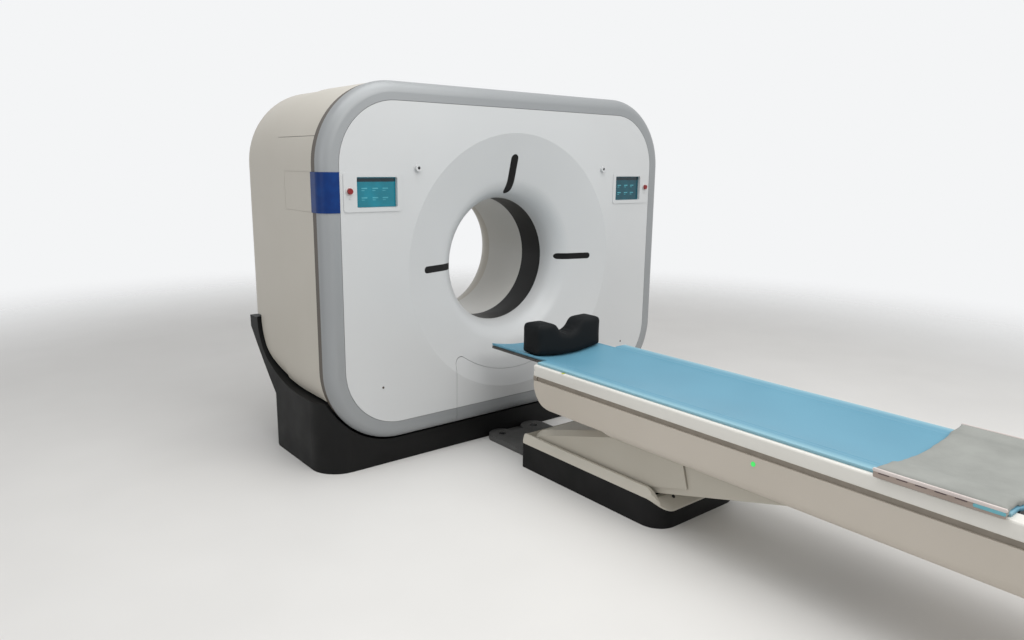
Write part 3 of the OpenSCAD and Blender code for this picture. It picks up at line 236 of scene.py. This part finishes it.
finishes = {
    "frontWhite": paintedMoulding("sprayedCoolWhite", "#C2C4C5", "#C8CACB"),
    "coverWhite": paintedMoulding("sprayedWarmWhite", "#B9B4A9", "#C0BBB1", 0.4),
    "tunnelWhite": paintedMoulding("mouldedTunnelWhite", "#C9C8C3", "#D0CFCB", 0.3),
    "bezelSilver": paintedMoulding("sprayedSilverGrey", "#8E9193", "#949799", 0.42, metal=0.2, peel=0.00001),
    "stripDark": paintedMoulding("mouldedTaupe", "#4B443D", "#554E46", 0.5),
    "panelBlue": glossPolycarbonate("sprayedDeepBlue", "#002A66", "#003372", 0.3, ior=1.3),
    "baseBlack": powderCoat("powderCoatedBlack", "#080808", "#101010", 0.55, ior=1.3),
    "bridgeGrey": powderCoat("powderCoatedGrey", "#4C4C4B", "#5C5C5B", 0.5),
    "windowBlack": glossPolycarbonate("blackPolycarbonate", "#020202", "#040404", 0.34, ior=1.3),
    "bodyBeige": paintedMoulding("sprayedTableBeige", "#BDB5A9", "#C5BDB2", 0.36, band=(0.511, "#DAD7CF")),
    "capBeige": paintedMoulding("mouldedCapBeige", "#BEB9AD", "#C6C1B6", 0.4),
    "armBeige": paintedMoulding("mouldedHoodBeige", "#B5AFA2", "#BDB8AC", 0.42),
    "railWhite": paintedMoulding("extrudedRailWhite", "#DCDAD3", "#E1DFD9", 0.22),
    # taupe trims in the groove: partly their own colour, partly painted shade of the groove
    "grooveTaupeShade": mouldedRubber("grooveTaupeAndShade", "#877F74", "#928A7F"),
    # painted shade: the tabletop, white on the real table, is dark grey for the shadow along its edge under the
    # pad
    "tabletopShadeGrey": glossPolycarbonate("tabletopPaintedShade", "#383633", "#43413D", 0.25),
    "steelPaint": powderCoat("paintedSteel", "#5B6066", "#71767C", 0.45),
    "groundSteel": turnedMetal("groundSteel", "#8E9193", "#C3C5C6"),
    "castAlloy": castMetal("castAlloy", "#7E8286", "#9EA2A6"),
    "castIron": castMetal("castIron", "#3A3B3C", "#545556", 0.6),
    "copperBrass": turnedMetal("turnedBrass", "#A7803C", "#D3AC62", 0.22),
    "blackMoulding": mouldedRubber("mouldedBlack", "#141414", "#222222"),
    "stopRed": glossPolycarbonate("mouldedRed", "#75060A", "#8C0A0E", 0.25),
    "stopHalo": paintedMoulding("mouldedPaleRose", "#D2BDBA", "#D9C6C3", 0.4),
    "lampGreen": glossPolycarbonate("litGreenLens", "#2FC752", "#52DE72", 0.2, glow=0.55),
    "screenTeal": glossPolycarbonate("litScreen", "#00606F", "#006B7C", 0.14, glow=0.35),
    "screenDeep": glossPolycarbonate("litScreenDeep", "#003A46", "#00434F", 0.14, glow=0.3),
    "screenBar": glossPolycarbonate("litScreenBar", "#04222B", "#062A34", 0.14),
    "screenPale": glossPolycarbonate("litScreenMarks", "#3C8B98", "#4897A3", 0.14, glow=0.25),
    "lensBlack": glossPolycarbonate("coatedLens", "#060609", "#0C0C12", 0.05),
    "markYellow": glossPolycarbonate("printedYellowGreen", "#B0B52A", "#BCC134", 0.35),
    "padBlue": paddedVinyl("weldedBlueVinyl", "#5890A8", "#6399B0", 0.5, lip=(0.270, 0.304, "#86B3C2")),
    "foamBlack": paddedVinyl("coatedBlackFoam", "#05080A", "#090D10", 0.7, ior=1.3),
    "matGrey": wovenCloth("wovenGreyCover", "#8D8F8B", "#999B97"),
    "hemPale": wovenCloth("foldedPaleHem", "#D0C5C1", "#DBD1CD"),
    "hemTaupe": wovenCloth("foldedTaupeSide", "#9C8E85", "#A99B92"),
    # painted shade: near-black dashes for the gaps along the foot mat's hem
    "hemGapShade": wovenCloth("paintedGapShade", "#54474A", "#5E5052"),
    "hemCyan": wovenCloth("cyanTab", "#66A9B6", "#74B5C1"),
}

nodeFinish = {
    "gantry_base": "baseBlack", "front_cover": "frontWhite", "lower_front_cover": "frontWhite",
    "front_bezel": "bezelSilver", "lower_bezel": "bezelSilver", "shadow_strip": "stripDark",
    "blue_panel": "panelBlue", "side_cover_left": "coverWhite", "side_cover_right": "coverWhite",
    "top_cover": "coverWhite", "rear_cover": "coverWhite", "tunnel_liner": "tunnelWhite",
    "scan_window": "windowBlack", "laser_windows": "windowBlack", "touch_panel_left": "frontWhite",
    "touch_panel_right": "frontWhite", "touch_screens": "screenTeal", "patient_cameras": "frontWhite",
    "stop_button_left": "stopRed", "stop_button_right": "stopRed", "stator_frame": "steelPaint",
    "bearing_outer": "groundSteel", "bearing_inner": "groundSteel", "brush_block": "blackMoulding",
    "drive_motor": "castIron", "drive_belt": "blackMoulding", "motor_pulley": "castAlloy",
    "fan_frame": "blackMoulding", "fan_rotor": "blackMoulding", "power_unit": "steelPaint",
    "rotor_drum": "castAlloy", "xray_tube": "castAlloy", "collimator": "groundSteel",
    "detector_arc": "castAlloy", "hv_generator": "steelPaint", "heat_exchanger": "castAlloy",
    "counterweights": "castIron", "slip_ring": "copperBrass", "floor_bridge": "bridgeGrey",
    "anchor_bolts": "groundSteel", "table_plinth": "baseBlack", "plinth_cap": "capBeige",
    "base_pins": "groundSteel", "lower_arm": "steelPaint", "lower_arm_cover": "armBeige",
    "upper_arm": "steelPaint", "upper_arm_cover": "armBeige", "actuator_barrel": "blackMoulding",
    "actuator_rod": "groundSteel", "carriage_frame": "steelPaint", "carriage_pins": "groundSteel",
    "table_body": "bodyBeige", "groove_trims": "grooveTaupeShade", "side_rails": "railWhite",
    "status_lamp": "lampGreen", "tabletop": "tabletopShadeGrey", "drive_roller": "blackMoulding",
}
for nodeName, finish in nodeFinish.items():
    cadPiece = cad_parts[nodeName]
    cadPiece.data.materials.clear()
    cadPiece.data.materials.append(finishes[finish])
print("finishes given to the carried-over nodes")


def pieceFrom(name, shape, finish, body, smooth=True):
    # a finished piece from a bmesh, riding on its body
    bmesh.ops.recalc_face_normals(shape, faces=shape.faces)
    mesh = bpy.data.meshes.new(name)
    shape.to_mesh(mesh)
    shape.free()
    mesh.materials.append(finishes[finish])
    for face in mesh.polygons:
        face.use_smooth = smooth
    piece = bpy.data.objects.new(name, mesh)
    bpy.context.collection.objects.link(piece)
    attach(piece, body)
    return piece


def addPlate(shape, size, corner, thick, place, soft=0.0):
    # a plate with rounded corners, thickened along its own Z, set by the matrix and softened
    # round its top edge
    ring = bmesh.ops.create_circle(shape, cap_ends=True, radius=corner, segments=16)["verts"]
    bmesh.ops.rotate(shape, verts=ring, cent=(0, 0, 0), matrix=Matrix.Rotation(math.pi / 16, 3, "Z"))
    for v in ring:
        v.co.x += math.copysign(size[0] / 2 - corner, v.co.x)
        v.co.y += math.copysign(size[1] / 2 - corner, v.co.y)
    grown = bmesh.ops.extrude_face_region(shape, geom=list(ring[0].link_faces))
    raised = [v for v in grown["geom"] if isinstance(v, bmesh.types.BMVert)]
    bmesh.ops.translate(shape, vec=(0, 0, thick), verts=raised)
    bmesh.ops.transform(shape, matrix=place, verts=ring + raised)
    if soft:
        top = set(raised)
        rim = [e for e in shape.edges if e.verts[0] in top and e.verts[1] in top]
        bmesh.ops.bevel(shape, geom=rim, offset=soft, offset_type="OFFSET", segments=3, profile=0.5,
                        affect="EDGES", material=-1)


def addTurned(shape, profile, place):
    # a profile of (radius, height) spun round Z and set by the matrix
    before = set(shape.verts)
    line = [shape.verts.new((r, 0, h)) for r, h in profile]
    edges = [shape.edges.new(pair) for pair in zip(line, line[1:])]
    bmesh.ops.spin(shape, geom=line + edges, axis=(0, 0, 1), cent=(0, 0, 0), angle=2 * math.pi, steps=32)
    made = [v for v in shape.verts if v not in before]
    bmesh.ops.remove_doubles(shape, verts=made, dist=0.000005)
    made = [v for v in shape.verts if v not in before]
    bmesh.ops.transform(shape, matrix=place, verts=made)


def facing(direction, place):
    # a matrix that turns Z to the direction, with X level
    turn = Vector(direction).to_track_quat("Z", "Y").to_matrix().to_4x4()
    return Matrix.Translation(place) @ turn


def hollowZ(x, radius):
    # height of an arc of this radius about the axis of the tabletop's hollow
    axisHeight = 1.646
    return axisHeight - math.sqrt(radius * radius - x * x)


# pad on the tabletop: a thin foam mat in welded vinyl, its sides folded up over the rails
pad = {"back": -2.880, "tip": -0.380, "wingEnd": -0.840, "halfTop": 0.235, "halfWing": 0.310, "under": 1.0997,
       "thick": 0.012, "railZ": 0.5773, "bendX": 0.226, "bendWidth": 0.018, "arcEnd": 0.25, "foldX": 0.247,
       "foldWidth": 0.008, "foldDepth": 0.003, "rim": 0.004, "puff": 0.0012}


def buildPad():
    shape = bmesh.new()
    bmesh.ops.create_grid(shape, x_segments=124, y_segments=250, size=0.5)
    bmesh.ops.scale(shape, vec=(2 * pad["halfWing"], pad["tip"] - pad["back"], 1), verts=shape.verts)
    bmesh.ops.translate(shape, vec=(0, (pad["tip"] + pad["back"]) / 2, 0), verts=shape.verts)
    outside = [f for f in shape.faces if f.calc_center_median().y > pad["wingEnd"]
               and abs(f.calc_center_median().x) > pad["halfTop"]]
    bmesh.ops.delete(shape, geom=outside, context="FACES")
    for v in shape.verts:
        side = abs(v.co.x)
        flat = min(1, max(0, (side - pad["bendX"]) / pad["bendWidth"]))
        flat = flat * flat * (3 - 2 * flat)
        v.co.z = hollowZ(min(side, pad["arcEnd"]), pad["under"]) * (1 - flat) + pad["railZ"] * flat
    top = bmesh.ops.extrude_face_region(shape, geom=shape.faces[:])
    upper = [v for v in top["geom"] if isinstance(v, bmesh.types.BMVert)]
    for v in upper:
        side = abs(v.co.x)
        fold = math.exp(-((side - pad["foldX"]) / pad["foldWidth"]) ** 2) * pad["foldDepth"]
        if v.co.y > pad["wingEnd"]:
            fold = 0
        soft = noise.noise(Vector((v.co.x * 4, v.co.y * 2.2, 0.3))) * pad["puff"]
        v.co.z += pad["thick"] - fold + soft
    bmesh.ops.recalc_face_normals(shape, faces=shape.faces)
    upperSet = set(upper)
    rim = [e for e in shape.edges if upperSet.issuperset(e.verts)
           and not all(upperSet.issuperset(f.verts) for f in e.link_faces)]
    bmesh.ops.bevel(shape, geom=rim, offset=pad["rim"], offset_type="OFFSET", segments=3, profile=0.5,
                    affect="EDGES", material=-1)
    piece = pieceFrom("tableMattress", shape, "padBlue", "tabletop")
    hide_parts("mattress")


buildPad()
print("pad built")


def reshape(mesh, smoothing, inset=0.0, weld=0.0):
    # the mesh with doubles welded, its points evened out and then drawn in along their normals
    shape = bmesh.new()
    shape.from_mesh(mesh)
    if weld:
        bmesh.ops.remove_doubles(shape, verts=shape.verts, dist=weld)
    for step in range(smoothing):
        bmesh.ops.smooth_vert(shape, verts=shape.verts, factor=0.5, use_axis_x=True, use_axis_y=True,
                              use_axis_z=True)
    if inset:
        shape.normal_update()
        for v in shape.verts:
            v.co -= v.normal * inset
    shape.to_mesh(mesh)
    shape.free()


def puffedFrom(name, node, finish, settings):
    # a foam piece: the CAD solid remeshed, swelled as cloth within a cap, and softened
    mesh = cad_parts[node].data.copy()
    mesh.materials.clear()
    piece = bpy.data.objects.new(name, mesh)
    bpy.context.collection.objects.link(piece)
    reshape(mesh, 0, weld=0.00001)
    remesh = piece.modifiers.new("evenFaces", "REMESH")
    remesh.mode = "VOXEL"
    remesh.voxel_size = settings["voxel"]
    bpy.context.view_layer.update()
    even = bpy.data.meshes.new_from_object(piece.evaluated_get(bpy.context.evaluated_depsgraph_get()))
    piece.modifiers.clear()
    piece.data = even
    reshape(even, settings["soften"], inset=settings["inset"])
    start = [v.co.copy() for v in even.vertices]
    cloth = piece.modifiers.new("swell", "CLOTH")
    cloth.settings.quality = 4
    cloth.settings.mass = 0.3
    cloth.settings.tension_stiffness = cloth.settings.compression_stiffness = 20
    cloth.settings.bending_stiffness = 0.6
    cloth.settings.use_pressure = True
    cloth.settings.uniform_pressure_force = settings["pressure"]
    cloth.settings.effector_weights.gravity = 0
    for step in range(1, settings["frames"] + 1):
        bpy.context.scene.frame_set(step)
    swelled = piece.evaluated_get(bpy.context.evaluated_depsgraph_get()).data
    for v, first, moved in zip(even.vertices, start, [w.co.copy() for w in swelled.vertices]):
        step = moved - first
        v.co = first + step * min(1, settings["cap"] / max(step.length, 1e-9))
    piece.modifiers.clear()
    bpy.context.scene.frame_set(1)
    # the skin is smoothed once more, which takes the cloth's small lumps out
    reshape(even, settings["soften"])
    settings["settle"](even)
    even.materials.clear()
    even.materials.append(finishes[finish])
    for face in even.polygons:
        face.use_smooth = True
    finer = piece.modifiers.new("finer", "SUBSURF")
    finer.levels = finer.render_levels = 1
    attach(piece, "tabletop")
    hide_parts(node)
    print(name, "made with", len(even.vertices), "points")


# where things rest: the pad's upper face, its sides folded over the rails, and the bare rails beside it
seat = {"radius": pad["under"] - 0.0123, "gap": 0.0004, "foldFrom": 0.2325, "foldTo": 0.3105, "foldZ": 0.5900,
        "railZ": 0.5776}


def onPad(mesh):
    # the underside lies on the pad, flat where it rests
    for v in mesh.vertices:
        v.co.z = max(v.co.z, hollowZ(v.co.x, seat["radius"]) + seat["gap"])


headRest = {"voxel": 0.006, "soften": 8, "inset": 0.002, "pressure": 4.0, "cap": 0.005, "frames": 14,
            "fill": 0.9, "settle": onPad}
puffedFrom("headRestFoam", "head_support", "foamBlack", headRest)


def overPad(mesh):
    # the mat lies on the pad in the middle and over its folded sides, and its edges hang beside it
    for v in mesh.vertices:
        side = abs(v.co.x)
        if side < seat["foldFrom"]:
            rest = hollowZ(side, seat["radius"]) + seat["gap"]
        else:
            rest = seat["foldZ"] if side < seat["foldTo"] else seat["railZ"]
        v.co.z = max(v.co.z, rest)


footMat = {"voxel": 0.006, "soften": 3, "inset": 0.002, "pressure": 3.0, "cap": 0.005, "frames": 12,
           "fill": 0.4, "settle": overPad}
puffedFrom("footMatCover", "foot_mat", "matGrey", footMat)


# folded edge of the foot mat: a pale hem over a taupe side, with dark dashes of painted shade for the gaps
# along the hem, and a tab
matEdge = {
    "x": 0.3392, "from": -2.878, "to": -2.502,
    "side": {"tall": 0.0200, "z": 0.5880, "corner": 0.004, "thick": 0.0035, "soft": 0.0015},
    "hem": {"tall": 0.0120, "z": 0.6035, "corner": 0.0055, "thick": 0.0060, "soft": 0.0025, "longer": 0.004},
    "gapShade": {"long": 0.034, "tall": 0.003, "z": 0.5950, "corner": 0.0014, "thick": 0.0007, "first": 0.034,
               "step": 0.056, "count": 5},
    "tab": {"long": 0.085, "tall": 0.011, "y": -2.835, "z": 0.5925, "corner": 0.0045, "thick": 0.0025,
            "soft": 0.001},
}


def buildMatEdge():
    length = matEdge["to"] - matEdge["from"]
    middle = (matEdge["to"] + matEdge["from"]) / 2
    outer = matEdge["x"] + matEdge["side"]["thick"]

    def band(shape, kind, long, side, x, y):
        size = matEdge[kind]
        addPlate(shape, (long, size["tall"]), size["corner"], size["thick"],
                 facing((side, 0, 0), (side * x, y, size["z"])), size.get("soft", 0.0))

    sides, hems, gapShades, tabs = (bmesh.new() for part in range(4))
    gapShade = matEdge["gapShade"]
    for side in (-1, 1):
        band(sides, "side", length, side, matEdge["x"], middle)
        band(hems, "hem", length + matEdge["hem"]["longer"], side, matEdge["x"], middle)
        # dark dashes along the hem, painted as the shade in its gaps
        for index in range(gapShade["count"]):
            band(gapShades, "gapShade", gapShade["long"], side, outer,
                 matEdge["to"] - gapShade["first"] - index * gapShade["step"])
        band(tabs, "tab", matEdge["tab"]["long"], side, outer, matEdge["tab"]["y"])
    pieceFrom("footMatSides", sides, "hemTaupe", "tabletop")
    pieceFrom("footMatHems", hems, "hemPale", "tabletop")
    pieceFrom("footMatGapShades", gapShades, "hemGapShade", "tabletop", smooth=False)
    pieceFrom("footMatTabs", tabs, "hemCyan", "tabletop")


buildMatEdge()
print("edge of the foot mat built")

# what the two screens show: a dark bar and rows of plain marks, each a film on the glass
screens = {"x": 0.868, "z": 1.394, "width": 0.212, "height": 0.139, "face": -0.288, "film": 0.0003,
           "bar": 0.017, "barDrop": 0.012, "columns": (-0.062, -0.004, 0.050), "rows": (0.018, -0.026)}
# marks in one cell: width, height, corner, and place in the cell
screenCell = [(0.030, 0.005, 0.0015, 0, 0), (0.016, 0.003, 0.001, -0.007, -0.010)]


def buildScreens():
    film = screens["film"]
    bars, marks, deep = (bmesh.new() for part in range(3))
    addPlate(deep, (screens["width"] - 0.002, screens["height"] - 0.002), 0.003, film,
             facing((0, -1, 0), (screens["x"], screens["face"], screens["z"])))
    for side in (-1, 1):
        centre = side * screens["x"]
        front = screens["face"] - (film if side > 0 else 0)
        addPlate(bars, (screens["width"] - 0.006, screens["bar"]), 0.002, film,
                 facing((0, -1, 0), (centre, front, screens["z"] + screens["height"] / 2 - screens["barDrop"])))
        for column in screens["columns"]:
            for row in screens["rows"]:
                for width, height, corner, x, z in screenCell:
                    addPlate(marks, (width, height), corner, film,
                             facing((0, -1, 0), (centre + column + x, front, screens["z"] + row + z)))
    pieceFrom("screenDeepPane", deep, "screenDeep", "base", smooth=False)
    pieceFrom("screenBars", bars, "screenBar", "base", smooth=False)
    pieceFrom("screenMarks", marks, "screenPale", "base", smooth=False)


buildScreens()
print("screens drawn")

# small turned parts in pairs: the place on the right side, and the profile as (radius, height)
turnedParts = [
    {"piece": "cameraLenses", "finish": "lensBlack", "body": "base", "faces": (0, -1, 0),
     "place": (0.642, -0.309, 1.508),
     "profile": [(0, 0), (0.0074, 0), (0.0074, 0.0012), (0.0064, 0.0026), (0.0040, 0.0036), (0, 0.0040)]},
    {"piece": "stopHalos", "finish": "stopHalo", "body": "base", "faces": (0, -1, 0),
     "place": (1.0155, -0.309, 1.400),
     "profile": [(0.0141, 0), (0.0178, 0), (0.0174, 0.0006), (0.0160, 0.0009), (0.0145, 0.0006), (0.0141, 0)]},
    {"piece": "coverPlugs", "finish": "stripDark", "body": "base", "faces": (0, -1, 0),
     "place": (0.860, -0.300, 0.428),
     "profile": [(0, 0), (0.0062, 0), (0.0058, 0.0009), (0.0036, 0.0016), (0, 0.0018)]},
    {"piece": "railMarks", "finish": "markYellow", "body": "carriage", "faces": (0, 0, 1),
     "place": (0.3155, -1.031, 0.577),
     "profile": [(0, 0), (0.0090, 0), (0.0088, 0.0004), (0, 0.0005)]},
    {"piece": "plinthScrews", "finish": "blackMoulding", "body": "base", "faces": (0, -0.75, 0.66),
     "place": (0.154, -1.5835, 0.1172),
     "profile": [(0, 0), (0.0085, 0), (0.0080, 0.0018), (0.0050, 0.0034), (0.0030, 0.0036), (0.0030, 0.0014),
                 (0, 0.0014)]},
]
for part in turnedParts:
    pair = bmesh.new()
    for side in (-1, 1):
        x, y, z = part["place"]
        addTurned(pair, part["profile"], facing(part["faces"], (side * x, y, z)))
    pieceFrom(part["piece"], pair, part["finish"], part["body"])

# the groove's trim carried round the nose of the table, in the taupe that partly paints the groove's shade
noseTrim = {"tall": 0.024, "z": 0.511, "corner": 0.0010, "thick": 0.0012, "soft": 0.0004, "front": -0.833,
            "side": 0.326, "length": 0.0155}
# a thin moulding over the joint between the body and each rail
railMoulding = {"size": (2.405, 0.046), "corner": 0.006, "thick": 0.0009, "soft": 0.0006, "x": 0.326,
                "y": -2.0415, "z": 0.5480}


def buildNoseTrim():
    shape = bmesh.new()
    addPlate(shape, (2 * (noseTrim["side"] + noseTrim["thick"]), noseTrim["tall"]), noseTrim["corner"],
             noseTrim["thick"], facing((0, 1, 0), (0, noseTrim["front"], noseTrim["z"])), noseTrim["soft"])
    behind = noseTrim["front"] - noseTrim["length"] / 2
    for side in (-1, 1):
        addPlate(shape, (noseTrim["length"], noseTrim["tall"]), noseTrim["corner"], noseTrim["thick"],
                 facing((side, 0, 0), (side * noseTrim["side"], behind, noseTrim["z"])), noseTrim["soft"])
    pieceFrom("noseTrim", shape, "grooveTaupeShade", "carriage", smooth=False)


def buildRailMouldings():
    shape = bmesh.new()
    for side in (-1, 1):
        place = (side * railMoulding["x"], railMoulding["y"], railMoulding["z"])
        addPlate(shape, railMoulding["size"], railMoulding["corner"], railMoulding["thick"],
                 facing((side, 0, 0), place), railMoulding["soft"])
    pieceFrom("railMouldings", shape, "railWhite", "carriage")


buildNoseTrim()
buildRailMouldings()
print("small parts built")

# the plain room round the part
studio = {"floorDark": "#DCDBD9", "floorLight": "#E2E1DF", "floorGloss": 0.6, "floorReach": 30.0,
          "fadeFrom": 3.2, "fadeTo": 7.5, "sky": "#ECECEC", "skyStrength": 0.6, "backdrop": "#F4F5F6"}


def stagePlane(name, corners, material):
    mesh = bpy.data.meshes.new(name)
    shape = bmesh.new()
    shape.faces.new([shape.verts.new(c) for c in corners])
    shape.to_mesh(mesh)
    shape.free()
    obj = bpy.data.objects.new(name, mesh)
    bpy.context.collection.objects.link(obj)
    mesh.materials.append(material)


def areaLamp(name, place, target, size, power, colour):
    data = bpy.data.lights.new(name, "AREA")
    data.shape = "RECTANGLE"
    data.size, data.size_y = size
    data.energy = power
    data.color = linear(colour)[:3]
    lamp = bpy.data.objects.new(name, data)
    lamp.location = place
    lamp.rotation_euler = (Vector(target) - Vector(place)).to_track_quat("-Z", "Y").to_euler()
    bpy.context.collection.objects.link(lamp)


floorPaint = paintedMoulding("studioFloor", studio["floorDark"], studio["floorLight"], studio["floorGloss"])
# the floor fades out with distance, so that it meets the backdrop without a line
tree = floorPaint.node_tree
last = next(n for n in tree.nodes if n.type == "OUTPUT_MATERIAL")
away = addNode(tree, "ShaderNodeVectorMath", {0: addNode(tree, "ShaderNodeTexCoord").outputs["Object"]},
               operation="LENGTH")
fade = addNode(tree, "ShaderNodeMapRange", {"Value": away.outputs["Value"], "From Min": studio["fadeFrom"],
                                            "From Max": studio["fadeTo"]}, interpolation_type="SMOOTHSTEP")
clear = addNode(tree, "ShaderNodeBsdfTransparent")
faded = addNode(tree, "ShaderNodeMixShader", {
    0: fade.outputs["Result"], 1: last.inputs["Surface"].links[0].from_socket, 2: clear.outputs[0]})
tree.links.new(faded.outputs[0], last.inputs["Surface"])
reach = studio["floorReach"]
corners = [(-reach, -reach, 0), (reach, -reach, 0), (reach, reach, 0), (-reach, reach, 0)]
stagePlane("floor", corners, floorPaint)

# soft sky as light, and a white backdrop where the eye or a reflection looks past the part
world = bpy.data.worlds.new("softSky")
bpy.context.scene.world = world
world.use_nodes = True
tree = world.node_tree
tree.nodes.clear()
sky = addNode(tree, "ShaderNodeBackground", {"Color": linear(studio["sky"]),
                                             "Strength": studio["skyStrength"]})
backdrop = addNode(tree, "ShaderNodeBackground", {"Color": linear(studio["backdrop"]), "Strength": 1.0})
ray = addNode(tree, "ShaderNodeLightPath").outputs
seen = addNode(tree, "ShaderNodeMath", {0: ray["Is Camera Ray"], 1: ray["Is Glossy Ray"]}, operation="ADD")
seen = addNode(tree, "ShaderNodeMath", {0: seen.outputs[0], 1: ray["Is Transmission Ray"]}, operation="ADD",
               use_clamp=True)
mixed = addNode(tree, "ShaderNodeMixShader", {0: seen.outputs[0], 1: sky.outputs[0], 2: backdrop.outputs[0]})
addNode(tree, "ShaderNodeOutputWorld", {"Surface": mixed.outputs[0]})

# name, place, target, size, power and colour
lamps = [("keyPanel", (1.0, -5.6, 4.2), (0, -0.6, 0.8), (4.0, 2.4), 118.0, "#FFFDFA"),
         ("topPanel", (-0.6, -1.6, 4.4), (-0.2, -1.4, 0), (3.6, 3.6), 108.0, "#FBFBFA"),
         ("fillPanel", (-5.5, -2.0, 2.2), (0, -0.8, 0.8), (3.0, 2.4), 24.0, "#F8F9FA")]
for lamp in lamps:
    areaLamp(*lamp)

# camera at the place that the photo's own perspective gives
cameraView = {"place": (-2.647, -3.519, 1.537), "yaw": 39.05, "pitch": 11.76, "roll": 0.71, "lens": 26.49}
yaw, pitch, roll = (math.radians(cameraView[k]) for k in ("yaw", "pitch", "roll"))
level = Vector((math.sin(yaw), math.cos(yaw), 0))
sideways = Vector((math.cos(yaw), -math.sin(yaw), 0))
ahead = level * math.cos(pitch) - Vector((0, 0, 1)) * math.sin(pitch)
upward = Vector((0, 0, 1)) * math.cos(pitch) + level * math.sin(pitch)
right = sideways * math.cos(roll) + upward * math.sin(roll)
upTurned = upward * math.cos(roll) - sideways * math.sin(roll)
cameraData = bpy.data.cameras.new("photoCamera")
cameraData.lens = cameraView["lens"]
cameraData.sensor_width = 36.0
cameraData.sensor_fit = "HORIZONTAL"
cameraData.clip_end = 60.0
camera = bpy.data.objects.new("photoCamera", cameraData)
bpy.context.collection.objects.link(camera)
turn = Matrix((right, upTurned, -ahead)).transposed().to_4x4()
camera.matrix_world = Matrix.Translation(cameraView["place"]) @ turn
bpy.context.scene.camera = camera
bpy.context.scene.view_settings.view_transform = "Standard"
print("studio and camera ready")
